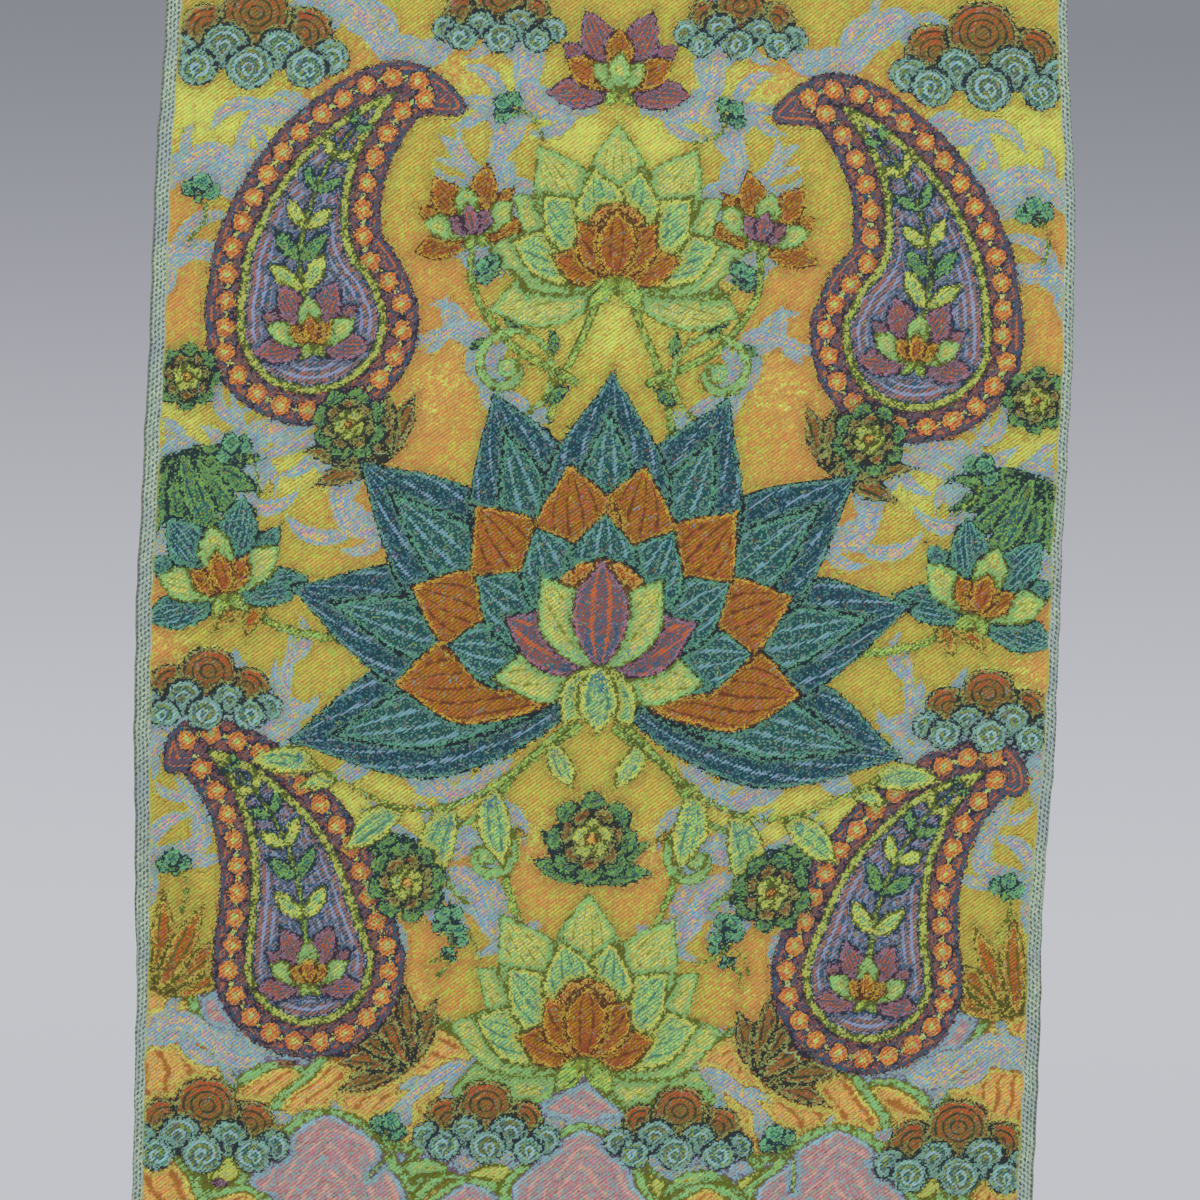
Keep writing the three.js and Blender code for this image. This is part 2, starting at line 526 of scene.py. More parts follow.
    def mound(self, foot: Place, heading: float, height: float, width: float) -> Shape:
        """A broad hill: a dome whose flanks spread at the foot.

        Args:
            foot: the middle of its foot.
            heading: where its top leans to.
            height: from foot to top.
            width: at the foot.

        Returns:
            The shape, with along from 0 at the foot to 1 and across from -1 to 1.
        """
        near, along, aside = self.about(foot, heading, height, 0.5 * width)
        share = np.clip(along / height, 0, 1)
        rest = np.maximum(1 - share**2, 0)
        half = 0.5 * width * (0.25 * (1 - share) ** 1.5 + 0.75 * np.sqrt(rest))
        crag = np.sin(along / 4.3 + 0.9 * foot[0]) + 0.7 * np.sin(along / 1.9 + 0.5 * foot[0])
        half = half + self.crag * crag * np.sign(aside) * np.clip(3 * rest, 0, 1)
        flank = 0.38 * np.sqrt(1 - share) + 0.75 * share / np.sqrt(np.maximum(rest, 0.03))
        distance = (np.abs(aside) - half) / np.hypot(1, 0.5 * width / height * flank)
        over = np.maximum(along - height, 0)
        distance = np.where(over > 0, np.hypot(over, aside), distance)
        return Shape(near, distance, share, aside / np.maximum(half, 0.6))

    def disc(self, middle: Place, radius: float, squash: float = 1.0) -> Shape:
        """A round spot, or an oval one lower by the squash."""
        return self.lobed(middle, radius, 1, 0.0, 0.0, squash)

    def lobed(
        self, middle: Place, radius: float, lobes: int, depth: float, heading: float = 0.0,
        squash: float = 1.0,
    ) -> Shape:
        """A round shape with a scalloped edge.

        Args:
            middle: its middle.
            radius: to the tops of the lobes.
            lobes: how many there are round the edge.
            depth: how deep the notches are, as a share of the radius.
            heading: where the first notch is turned to, in degrees.
            squash: the height as a share of the width.

        Returns:
            The shape, with along from 0 at the middle to 1 and across as the share of a turn.
        """
        near = self.within(middle, middle, radius)
        across, down = self.across[near] - middle[0], (self.down[near] - middle[1]) / squash
        out, turn = np.hypot(across, down), np.arctan2(across, -down)
        scallop = np.sqrt(np.abs(np.cos(0.5 * lobes * (turn - math.radians(heading)))))
        edge = radius * (1 - depth + depth * scallop)
        return Shape(near, min(squash, 1.0) * (out - edge), out / radius, turn / (2 * math.pi))

    def stroke(self, run: np.ndarray, start: float, end: float, swell: float = 0.0) -> Shape:
        """A tapered stroke along a run of points.

        Args:
            run: the points of its middle line.
            start: its width at the first point.
            end: its width at the last point.
            swell: how much wider it is half way along.

        Returns:
            The shape, with along from 0 to 1 and across from -1 to 1.
        """
        near = self.within(tuple(run.min(0)), tuple(run.max(0)), 0.5 * (max(start, end) + swell))
        across, down = self.across[near], self.down[near]
        distance = np.full(near.size, 1e9)
        along, side = np.zeros(near.size), np.zeros(near.size)
        steps = len(run) - 1
        for step in range(steps):
            first, way = run[step], run[step + 1] - run[step]
            reached = (across - first[0]) * way[0] + (down - first[1]) * way[1]
            share = np.clip(reached / (way @ way + 1e-9), 0, 1)
            place = (step + share) / steps
            half = 0.5 * (start + (end - start) * place + swell * np.sin(math.pi * place))
            gap_across = across - first[0] - share * way[0]
            gap_down = down - first[1] - share * way[1]
            gap = np.hypot(gap_across, gap_down)
            nearer = gap - half < distance
            distance = np.where(nearer, gap - half, distance)
            along = np.where(nearer, place, along)
            hand = np.sign(way[0] * gap_down - way[1] * gap_across)
            side = np.where(nearer, hand * gap / np.maximum(half, 0.5), side)
        return Shape(near, distance, along, side)


def heading_of(run: np.ndarray, step: int) -> float:
    """The heading of a run at one of its points."""
    way = run[step + 1] - run[step]
    return math.degrees(math.atan2(way[0], -way[1]))


def curve(knots: tuple[Place, ...], steps: int = 8) -> np.ndarray:
    """A smooth run of points through some knots.

    Args:
        knots: the places that it goes through.
        steps: how many steps it takes from each knot to the next.

    Returns:
        One row for each point.
    """
    stations = np.array(knots, float)
    place = np.linspace(0, len(knots) - 1, steps * (len(knots) - 1) + 1)
    return np.stack([through_stations(stations[:, k], place) for k in (0, 1)], 1)


def curl(middle: Place, inner: float, outer: float, heading: float, turns: float) -> np.ndarray:
    """A spiral from its open end in to its eye.

    Args:
        middle: the place of its eye.
        inner: its radius at the eye.
        outer: its radius at the open end.
        heading: where the open end lies.
        turns: how often it winds round, below zero for the other way.

    Returns:
        One row for each point.
    """
    share = np.linspace(0, 1, max(8, int(14 * abs(turns))))
    radius = outer + (inner - outer) * share
    turn = math.radians(heading) + 2 * math.pi * turns * share
    return np.stack([middle[0] + radius * np.sin(turn), middle[1] - radius * np.cos(turn)], 1)


def sweep(start: Place, heading: float, length: float, turn: float, steps: int = 8) -> np.ndarray:
    """An arc that starts on a heading.

    Args:
        start: its first point.
        heading: of its first step.
        length: along it.
        turn: by how many degrees it turns on its way.
        steps: how many steps it takes.

    Returns:
        One row for each point.
    """
    share = np.linspace(0, 1, steps + 1)
    ways = np.radians(heading + turn * 0.5 * (share[1:] + share[:-1]))
    moves = np.stack([np.sin(ways), -np.cos(ways)], 1) * length / steps
    return np.array(start) + np.concatenate([[[0.0, 0.0]], np.cumsum(moves, 0)])


def drift(start: Place, heading: float, length: float) -> tuple[Place, ...]:
    """The knots of a run that drifts in a slow S.

    Args:
        start: its first knot.
        heading: about which it sways.
        length: from its first knot to its last.

    Returns:
        Four knots.
    """
    sways = ((0.33, 26), (0.66, -14), (1.0, 12))
    return start, *(ahead_of(start, heading + aside, share * length) for share, aside in sways)


@dataclass(frozen=True)
class Cut:
    """The form of a petal or leaf.

    The length and the width are shares of the figure's size. Veins are counted to either side of
    the middle. The bend takes the point to the right, as a share of the length. Deep is how
    strongly the foot is shaded with the turn yarn, and belly how far along it is widest.
    """

    length: float
    width: float
    veins: float
    bend: float = 0.0
    deep: float = 1.0
    belly: float = 0.52


@dataclass(frozen=True)
class Motif:
    """A figure of the design, standing at a place, with a size and a heading in degrees."""

    at: Place
    size: float
    heading: float = 0.0
    flip: int = 1

    def mirrored(self) -> "Motif":
        """The same figure on the other side of the middle line."""
        return replace(self, at=(-self.at[0], self.at[1]), heading=-self.heading, flip=-self.flip)

    def lay(self, chart: Chart) -> None:
        """Lays the figure on the chart."""
        raise NotImplementedError

    def ahead(self, reach: float, aside: float = 0.0) -> Place:
        """The place some way ahead of the figure's own, turned aside by some degrees."""
        return ahead_of(self.at, self.heading + aside, reach)

    def petal(self, chart: Chart, area: Area, foot: Place, aside: float, cut: Cut) -> None:
        """Lays one petal or leaf of the figure.

        Args:
            chart: the loom's chart.
            area: its yarns.
            foot: where it grows from.
            aside: degrees from the figure's heading.
            cut: its form.
        """
        blade = chart.blade(
            foot, self.heading + aside, cut.length * self.size, cut.width * self.size, cut.belly,
            cut.bend)
        count = blade.across * cut.veins * np.clip(1.6 - blade.along, 0.35, 1.0) + 0.5
        chart.lay(area, blade, count, np.clip(cut.deep * (1 - 1.7 * blade.along), 0, 1))

    def leaf(self, chart: Chart, area: Area, cut: Cut) -> None:
        """Lays one leaf from the figure's own place, on its heading."""
        self.petal(chart, area, self.at, 0, cut)

    def tier(
        self, chart: Chart, foot: Place, area: Area, asides: tuple[float, ...], cut: Cut,
    ) -> None:
        """Lays like petals in pairs, with their points bent to the middle.

        Args:
            chart: the loom's chart.
            foot: where they all grow from.
            area: their yarns.
            asides: degrees from the figure's heading to either side, or 0 or 180 for a lone one.
            cut: their form.
        """
        for aside in asides:
            for hand in (1, -1) if aside % 180 else (0,):
                bent = replace(cut, bend=-hand * cut.bend)
                self.petal(chart, area, foot, hand * aside or aside, bent)

    def pod(self, chart: Chart, middle: Place, share: float, seed_share: float, lobes: int) -> None:
        """Lays a scalloped seed pod, seen from a little above.

        Args:
            chart: the loom's chart.
            middle: its middle.
            share: its radius as a share of the figure's size.
            seed_share: the radius of its seeds.
            lobes: how many there are round its edge.
        """
        chart.lay(Area.POD, chart.lobed(middle, share * self.size, lobes, 0.12, self.heading, 0.8))
        chart.lay(Area.SEED, chart.disc(middle, seed_share * self.size, 0.8))


@dataclass(frozen=True)
class Lotus(Motif):
    """A lotus in side view: tiers of pointed petals over a seed pod, fewer where it is small."""

    outer: Area = Area.TEAL_PETAL
    middle: Area = Area.LIME_PETAL
    inner: Area = Area.RUST_PETAL
    full_size: float = 32.0

    def lay(self, chart: Chart) -> None:
        """Lays the tiers from the back to the front.

        Args:
            chart: the loom's chart.
        """
        foot, is_full = self.ahead(-0.34 * self.size), self.size >= self.full_size
        behind = (
            (self.outer, (112, 84, 58), (100, 58), Cut(0.94, 0.42, 3.4, 0.10, 1.0, 0.60)),
            (self.outer, (32, 0), (24,), Cut(1.10, 0.46, 3.6, 0.0, 1.0, 0.60)),
            (self.middle, (76, 46, 16), (66, 0), Cut(0.78, 0.36, 2.6, 0.06, 1.0, 0.64)))
        for area, all_asides, few_asides, cut in behind:
            self.tier(chart, foot, area, all_asides if is_full else few_asides, cut)
        if is_full:
            self.pod(chart, self.ahead(0.02 * self.size), 0.20, 0.115, 10)
        asides = (74, 36, 0) if is_full else (44, 0)
        self.tier(chart, foot, self.inner, asides, Cut(0.48, 0.28, 1.6))
        self.tier(chart, foot, Area.STEM, (140,), Cut(0.30, 0.16, 1.0))


@dataclass(frozen=True)
class GreatLotus(Motif):
    """The broad lotus of the middle: long dark petals with teal hearts, and two tiers in front."""

    def lay(self, chart: Chart) -> None:
        """Lays the tiers from the back to the front.

        Args:
            chart: the loom's chart.
        """
        for aside, length in ((112, 1.18), (84, 1.18), (58, 1.18), (30, 1.10), (0, 1.10)):
            long = Cut(length, 0.47, 3.4, 0.12, 0.5, 0.56)
            heart = Cut(0.86 * length, 0.24, 2.0, 0.86 * long.bend, 0.4, 0.62)
            for hand in (1, -1) if aside else (0,):
                for area, cut in ((Area.NAVY_PETAL, long), (Area.TEAL_PETAL, heart)):
                    bent = replace(cut, bend=-hand * cut.bend)
                    self.petal(chart, area, self.at, hand * aside, bent)
        rust, teal = Cut(0.76, 0.33, 3.2, 0.06, 0.5, 0.66), Cut(0.57, 0.26, 2.6, 0.04, 0.7, 0.66)
        self.tier(chart, self.at, Area.RUST_PETAL, (100, 72, 43, 14), rust)
        self.tier(chart, self.at, Area.TEAL_PETAL, (86, 58, 29, 0), teal)
        self.pod(chart, self.ahead(0.26 * self.size), 0.17, 0.10, 12)
        for number, aside in enumerate((104, 70, 40, 0)):
            area = Area.WINE_PETAL if number % 2 else Area.LIME_PETAL
            self.tier(chart, self.at, area, (aside,), Cut(0.40, 0.21, 1.6, 0.10))
        self.tier(chart, self.at, Area.JADE_PETAL, (150, 180), Cut(0.26, 0.15, 1.0))


@dataclass(frozen=True)
class Peony(Motif):
    """A full round flower: three rings of rounded petals about a heart."""

    outer: Area = Area.TEAL_LEAF
    middle: Area = Area.CLOUD_BROWN
    inner: Area = Area.JADE_PETAL

    def lay(self, chart: Chart) -> None:
        """Lays the rings from the outer one in, then the heart.

        Args:
            chart: the loom's chart.
        """
        rings = (
            (self.outer, 0.72, 8, 0.30), (self.middle, 0.46, 7, 0.26), (self.inner, 0.22, 5, 0.22))
        for number, (area, out, count, share) in enumerate(rings):
            for place in range(count):
                aside = 360 * (place + 0.5 * (number % 2)) / count
                petal = chart.disc(self.ahead(out * self.size, aside), share * self.size)
                shade = np.clip(0.9 - 1.1 * petal.along, 0, 1)
                chart.lay(area, petal, petal.along * 2.1 + 0.3, shade, 0.9)
        chart.lay(Area.POD, chart.disc(self.at, 0.14 * self.size))


@dataclass(frozen=True)
class Cloud(Motif):
    """A bank of cloud: brown domes behind, and curled heads in front.

    Domes and heads are given by their place and their radius, in shares of the bank's size.
    """

    domes: Rows = ((-0.58, -0.08, 0.40), (0.56, -0.10, 0.38), (0.0, -0.32, 0.46))
    heads: Rows = (
        (-0.92, 0.20, 0.24), (0.94, 0.18, 0.25), (-0.30, 0.12, 0.27), (0.36, 0.10, 0.30),
        (-0.64, 0.34, 0.26), (0.04, 0.34, 0.29), (0.68, 0.36, 0.24))
    dome_ring: float = 2.6
    head_ring: float = 3.0

    def lay(self, chart: Chart) -> None:
        """Lays the domes, then the curled heads, each with one spiral line inside.

        Args:
            chart: the loom's chart.
        """
        for across, down, share in self.domes:
            dome = chart.lobed(self.spot(across, down), share * self.size, 5, 0.10, 36, 0.86)
            height = np.clip(0.9 - 1.1 * dome.along * np.cos(2 * math.pi * dome.across), 0, 1)
            rings = dome.along * share * self.size / self.dome_ring
            chart.lay(Area.CLOUD_BROWN, dome, rings, 1 - height)
        for number, (across, down, share) in enumerate(self.heads):
            radius = share * self.size
            head = chart.disc(self.spot(across, down), radius, 0.92)
            hand = self.flip * (1 if across > 0 else -1)
            spiral = head.along * radius / self.head_ring - hand * head.across + 0.1 * number
            chart.lay(Area.CLOUD_TEAL, head, spiral, 0.15 + 0.3 * (number % 2))

    def spot(self, across: float, down: float) -> Place:
        """A place within the bank, given in shares of its size."""
        return self.at[0] + self.flip * across * self.size, self.at[1] + down * self.size


@dataclass(frozen=True)
class Scroll(Motif):
    """A scrolling tendril that winds in to its eye, with leaflets on its outer side."""

    area: Area = Area.JADE_PETAL
    leaflets: Area = Area.RUST_LEAF
    leaflet_count: int = 4
    turns: float = 1.25

    def lay(self, chart: Chart) -> None:
        """Lays the leaflets, then the tendril over their feet, then its eye.

        Args:
            chart: the loom's chart.
        """
        run = curl(self.at, 0.16 * self.size, self.size, self.heading, self.turns * self.flip)
        for number in range(self.leaflet_count):
            step, size = 1 + 2 * number, self.size * (0.62 - 0.06 * number)
            heading = heading_of(run, step) - 48 * self.flip
            leaflet = Motif(tuple(run[step]), size, heading)
            leaflet.leaf(chart, self.leaflets, Cut(1.0, 0.44, 1.4, 0.2 * self.flip, 0.8))
        tendril = chart.stroke(run, 0.10 * self.size, 0.26 * self.size)
        chart.lay(self.area, tendril, 1.2 * tendril.across + 0.5, 0.6 * tendril.along)
        chart.lay(self.area, chart.disc(self.at, 0.20 * self.size), 0.5, 0.5)


@dataclass(frozen=True)
class Sprig(Motif):
    """A small three-petalled sprig on a thin stem."""

    stem_width: float = 1.3

    def lay(self, chart: Chart) -> None:
        """Lays the stem, the petals and one leaf.

        Args:
            chart: the loom's chart.
        """
        tip, bow = self.ahead(self.size), self.ahead(0.62 * self.size, 20)
        stem = chart.stroke(curve((self.at, bow, tip)), self.stem_width, self.stem_width)
        chart.lay(Area.STEM, stem)
        head = replace(self, at=tip)
        for aside in (-70, 70, 0):
            petal = chart.disc(head.ahead(0.22 * self.size, aside), 0.20 * self.size)
            chart.lay(Area.SPRIG, petal, 0.5, 0.3)
        head.petal(chart, Area.TEAL_LEAF, tip, 180, Cut(0.26, 0.2, 0.8))


@dataclass(frozen=True)
class Spray(Motif):
    """A fan of narrow leaves from one foot."""

    area: Area = Area.RUST_LEAF
    spread: float = 55.0
    count: int = 5

    def lay(self, chart: Chart) -> None:
        """Lays the outer leaves first and the middle ones over them.

        Args:
            chart: the loom's chart.
        """
        middle = (self.count - 1) / 2
        for number in sorted(range(self.count), key=lambda k: -abs(k - middle)):
            share = (number - middle) / middle
            bend = 0.08 * self.flip + 0.10 * share
            leaf = Cut(1 - 0.28 * abs(share), 0.24, 1.3, bend, 0.8)
            self.petal(chart, self.area, self.at, self.spread * share, leaf)


@dataclass(frozen=True)
class Peak(Motif):
    """A hill in three leaning tops with light rims, and lines that follow its flanks.

    A top is given by its place across, its lean in degrees, its height and its width.
    """

    area: Area = Area.ROCK
    width: float = 50.0
    rim: float = 3.6
    line_pitch: float = 5.4
    tops: Rows = ((-0.30, -9, 0.72, 0.72), (0.32, 8, 0.62, 0.70), (0.0, 0, 1.0, 0.80))

    def lay(self, chart: Chart) -> None:
        """Lays the side tops, then the middle one.

        Args:
            chart: the loom's chart.
        """
        for across, lean, grow, wide in self.tops:
            foot = self.at[0] + self.flip * across * self.width, self.at[1]
            aside = self.heading + self.flip * lean
            hill = chart.mound(foot, aside, grow * self.size, wide * self.width)
            chart.lay(Area.WAVE_LIME, hill, 0.5, 0.15)
            lines = -hill.distance / self.line_pitch + 1.6 * hill.across * hill.along
            shade = np.clip(1.0 - 1.5 * hill.along + 0.3 * hill.across, 0, 0.9)
            chart.lay(self.area, hill.inset(self.rim), lines, shade, 0.4)


@dataclass(frozen=True)
class Waves:
    """Rows of standing waves, each a fan of rings, staggered like scales."""

    top: float
    bottom: float
    radius: float
    pitch_share: float = 1.52
    row_share: float = 0.62
    ring_pitch: float = 4.3

    def lay(self, chart: Chart) -> None:
        """Lays the rows from the far one to the near one.

        Args:
            chart: the loom's chart.
        """
        pitch, drop = self.pitch_share * self.radius, self.row_share * self.radius
        for row in range(int((self.bottom - self.top) / drop) + 2):
            for number in range(int(2 * (HALF_WIDTH + 10) / pitch) + 2):
                across = -HALF_WIDTH - self.radius + pitch * (number + 0.5 * (row % 2))
                swell = self.radius * (0.4 + 0.12 * math.cos(across / 42))
                middle = across, self.top + drop * row + swell
                fan = chart.disc(middle, self.radius)
                odd = (number + row) % 2
                rings = fan.along * self.radius / self.ring_pitch + 0.18
                shade = np.clip(1.15 - 1.3 * fan.along, 0, 1)
                chart.lay(Area.WAVE_LIME if odd else Area.WAVE_JADE, fan, rings, shade)
                heart = chart.disc(middle, 0.30 * self.radius)
                chart.lay(Area.TEAL_PETAL if odd else Area.WINE_PETAL, heart, 0.5, 0.2)


@dataclass(frozen=True)
class Trail:
    """A figure that follows a run of knots, with a size across the run."""

    knots: tuple[Place, ...]
    size: float
    flip: int = 1

    def mirrored(self) -> "Trail":
        """The same figure on the other side of the middle line."""
        return replace(self, knots=tuple((-a, d) for a, d in self.knots), flip=-self.flip)

    def lay(self, chart: Chart) -> None:
        """Lays the figure on the chart."""
        raise NotImplementedError


@dataclass(frozen=True)
class Stem(Trail):
    """A plain stem, tapered to two thirds."""

    def lay(self, chart: Chart) -> None:
        """Lays one stroke."""
        chart.lay(Area.STEM, chart.stroke(curve(self.knots), self.size, 0.67 * self.size))


@dataclass(frozen=True)
class Acanthus(Trail):
    """A scrolling leaf: lobes that curl off the outer side of a spine, largest in the middle."""

    area: Area = Area.RUST_LEAF
    lobes: int = 6

    def lay(self, chart: Chart) -> None:
        """Lays the lobes from the foot on, the end leaf, then the spine over them.

        Args:
            chart: the loom's chart.
        """
        spine = curve(self.knots)
        last = len(spine) - 2
        for number in range(self.lobes):
            share = number / (self.lobes - 1)
            step = int((0.12 + 0.80 * share) * last)
            size = self.size * math.sin(math.pi * (0.22 + 0.62 * share))
            heading = heading_of(spine, step) + self.flip * (62 - 8 * number)
            lobe = Motif(tuple(spine[step]), size, heading)
            lobe.leaf(chart, self.area, Cut(1.0, 0.46, 1.6, 0.22 * self.flip, 0.8))
        heading = heading_of(spine, last) + 10 * self.flip
        end = Motif(tuple(spine[last]), 0.8 * self.size, heading)
        end.leaf(chart, self.area, Cut(1.0, 0.425, 1.6, 0.25 * self.flip))
        chart.lay(Area.STEM, chart.stroke(spine, 2.6, 1.2))


@dataclass(frozen=True)
class Wisp(Trail):
    """A streak of mist along a run, with thin tongues that stream off both sides of it."""

    tongues: int = 8
    root_width: float = 2.4
    tip_width: float = 0.5
    shadow: float = 0.35

    def lay(self, chart: Chart) -> None:
        """Lays the tongues from the far end back, then the spine.

        Args:
            chart: the loom's chart.
        """
        spine = curve(self.knots)
        for number in reversed(range(self.tongues)):
            share = (number + 0.4) / self.tongues
            step = int(share * (len(spine) - 2))
            hand = self.flip * (1 if number % 2 else -1)
            reach = self.size * (1.0 + 1.4 * math.sin(math.pi * (0.18 + 0.72 * share)))
            reach *= 1.0 - 0.22 * (number % 3)
            heading = heading_of(spine, step) + (50 + 9 * (number % 4)) * hand
            run = sweep(tuple(spine[step]), heading, reach, (-105 + 25 * (number % 3)) * hand)
            tongue = chart.stroke(run, self.root_width, self.tip_width, 0.15 * reach)
            shade = 0.3 + 0.3 * np.sin(8 * tongue.along + 2.1 * number)
            chart.lay(Area.MIST, tongue, 0.8 * tongue.across + 0.5, shade, self.shadow)
        ribbon = chart.stroke(spine, 1.4, 0.8, 0.55 * self.size)
        shade = 0.5 * np.sin(11 * ribbon.along) ** 2
        chart.lay(Area.MIST, ribbon, ribbon.across + 0.5, shade, self.shadow)


@dataclass(frozen=True)
class Paisley(Trail):
    """A curved drop: a border of small flowers, a pale rim, and an echoed field with a spray."""

    border: float = 10.5
    rim: float = 2.6
    echo: float = 2.7
    border_echo: float = 2.3
    flower_pitch: float = 8.6
    flower_radius: float = 3.3
    heart_radius: float = 1.2
    bead_radius: float = 0.9
    tip: float = 5.0
    field_shade_reach: float = 20.0

    def lay(self, chart: Chart) -> None:
        """Lays the border and its flowers, the rim, the field and the spray.

        Args:
            chart: the loom's chart.
        """
        run = curve(self.knots)
        drop = chart.stroke(run, self.size, self.tip)
        chart.lay(Area.WINE_FIELD, drop, -drop.distance / self.border_echo, 0.3)
        for number, spot in enumerate(self.walk(run)):
            flower = chart.lobed(tuple(spot), self.flower_radius, 5, 0.24, 40.0 * number)
            chart.lay(Area.RUST_CURL, flower, 0.5, 0.0, 0.3)
            chart.lay(Area.BEAD, chart.disc(tuple(spot), self.heart_radius), 0.5, 0.0, 0.0)
        for spot in self.walk(run, 0.5):
            chart.lay(Area.BEAD, chart.disc(tuple(spot), self.bead_radius), 0.5, 0.0, 0.2)
        rim = drop.inset(self.border)
        chart.lay(Area.JADE_PETAL, rim, 1.4 * rim.along * self.size, 0.2)
        inner = drop.inset(self.border + self.rim)
        shade = np.clip(0.8 + inner.distance / self.field_shade_reach, 0, 0.7)
        chart.lay(Area.RAY_FIELD, inner, -inner.distance / self.echo, shade)
        self.lay_spray(chart, run)

    def lay_spray(self, chart: Chart, run: np.ndarray) -> None:
        """Lays a leafy stem up the drop and a small lotus at its foot.

        Args:
            chart: the loom's chart.
            run: the points of the drop's middle line, from the round end to the tip.
        """
        last = int(0.60 * len(run))
        chart.lay(Area.STEM, chart.stroke(run[: last + 1], 2.0, 1.0), 0.5, 0.2)
        for number, step in enumerate(range(last, 3, -3)):
            size = 0.10 * self.size + 1.5 * number
            area = Area.JADE_PETAL if number % 2 else Area.TEAL_LEAF
            for hand in (1, -1):
                leaf = Motif(tuple(run[step]), size, heading_of(run, step) + 48 * hand)
                leaf.leaf(chart, area, Cut(1.0, 0.42, 1.2, -0.12 * hand, 0.6))
        bloom = tuple(run[0] + np.array([0.0, 0.02 * self.size]))
        Lotus(bloom, 0.30 * self.size, 0.4 * heading_of(run, 0), 1,
              Area.WINE_PETAL, Area.LIME_PETAL, Area.RUST_PETAL).lay(chart)

    def walk(self, run: np.ndarray, offset: float = 0.0) -> np.ndarray:
        """Even places along the middle of the border, all round the drop.

        Args:
            run: the points of the drop's middle line, from the round end to the tip.
            offset: how far the first place is moved on, as a share of the pitch.

        Returns:
            One row for each place.
        """
        ways = np.gradient(run, axis=0)
        ways /= np.linalg.norm(ways, axis=1, keepdims=True)
        normals = np.stack([-ways[:, 1], ways[:, 0]], 1)
        half = 0.5 * (self.size + (self.tip - self.size) * np.linspace(0, 1, len(run)))
        inset = (half - 0.5 * self.border)[:, None]
        kept = inset[:, 0] > 0.1 * self.border
        left, right = (run + normals * inset)[kept], (run - normals * inset)[kept]
        turns = np.linspace(0, math.pi, 24)[1:-1, None]
        cap = normals[0] * np.cos(turns) - ways[0] * np.sin(turns)
        loop = np.concatenate([left[::-1], run[0] + cap * inset[0], right])
        reached = np.concatenate([[0.0], np.cumsum(np.linalg.norm(np.diff(loop, axis=0), axis=1))])
        count = round(reached[-1] / self.flower_pitch)
        places = (np.arange(count) + 0.25 + offset) * reached[-1] / count
        return np.stack([np.interp(places, reached, loop[:, k]) for k in (0, 1)], 1)


def wisps(*rows: tuple[Place, float, float, float, int, int]) -> tuple[Wisp, ...]:
    """Wisps from rows of start, heading, length, size, hand and tongues."""
    return tuple(Wisp(drift(*row[:3]), *row[3:]) for row in rows)


BEHIND: tuple[Motif | Trail, ...] = (
    *wisps(
        ((8, 62), 60, 60, 11, 1, 10), ((76, 60), 110, 60, 10, 1, 9),
        ((36, 116), 20, 44, 10, -1, 8), ((148, 128), -40, 50, 10, 1, 8),
        ((96, 150), 150, 46, 10, -1, 8), ((40, 212), -60, 50, 10, -1, 8),
        ((118, 240), 170, 50, 10, 1, 8), ((96, 262), 100, 56, 10, -1, 9),
        ((32, 280), 160, 50, 10, 1, 8), ((104, 352), 130, 50, 10, 1, 8),
        ((146, 92), -70, 56, 11, -1, 10), ((24, 92), 40, 50, 10, 1, 9),
        ((60, 40), 84, 50, 10, -1, 9), ((146, 214), -34, 62, 11, 1, 10),
        ((20, 160), 58, 54, 10, -1, 10), ((64, 200), 58, 58, 11, 1, 10),
        ((110, 182), 88, 44, 10, -1, 8), ((148, 276), -60, 66, 11, -1, 10),
        ((84, 280), -84, 62, 10, 1, 10), ((60, 338), 6, 50, 10, 1, 9),
        ((16, 326), 74, 46, 10, -1, 9)),
    Peak((112, 452), 108, 3, 1, Area.ROCK, 200), Peak((152, 452), 112, -3, 1, Area.PEACH, 130),
    Peak((60, 452), 96, -2, 1, Area.PEACH, 180), Peak((14, 452), 88, 2, 1, Area.ROCK, 150),
    *wisps(
        ((4, 392), 78, 62, 11, 1, 10), ((148, 372), -78, 56, 10, -1, 9),
        ((146, 326), -24, 46, 10, 1, 8), ((52, 406), 82, 60, 10, -1, 9)),
    Stem(((6, 232), (20, 170), (8, 130), (0, 116)), 3.4),
    Stem(((12, 150), (34, 138), (46, 120), (46, 104)), 3.2),
    Stem(((20, 240), (80, 236), (104, 232), (118, 222)), 3.4),
    Stem(((6, 262), (30, 284), (24, 322), (4, 352)), 3.4),
    Spray((138, 176), 38, 200, 1, Area.TEAL_LEAF, 56, 7),
    Spray((106, 214), 34, 100, 1, Area.RUST_LEAF, 50, 6),
    Spray((72, 178), 34, 40, 1, Area.CLOUD_BROWN, 60, 6),
    Spray((58, 374), 34, 40, 1, Area.CLOUD_BROWN, 60, 6),
    Spray((142, 352), 36, -20, 1, Area.RUST_LEAF, 55, 6),
    Spray((58, 300), 30, 150, 1, Area.TEAL_LEAF, 50, 5),
    Paisley(((98, 132), (102, 110), (93, 80), (72, 58), (52, 62)), 70),
    Paisley(((92, 340), (97, 310), (110, 286), (128, 272), (138, 278)), 64),
    Scroll((34, 146), 17, 200, 1, Area.LIME_PETAL, Area.TEAL_LEAF),
    Scroll((34, 304), 17, 160, -1, Area.LIME_PETAL, Area.RUST_LEAF),
    Acanthus(((10, 262), (36, 284), (62, 290), (92, 276)), 28, 1, Area.JADE_PETAL, 5),
)
WATER = Waves(412, 452, 15)
ROCKS: tuple[Motif, ...] = (
    Peak((84, 458), 70, 0, 1, Area.ROCK, 120), Peak((146, 458), 62, 0, 1, Area.PEACH, 96),
    Peak((42, 458), 50, 0, 1, Area.PEACH, 84),
)
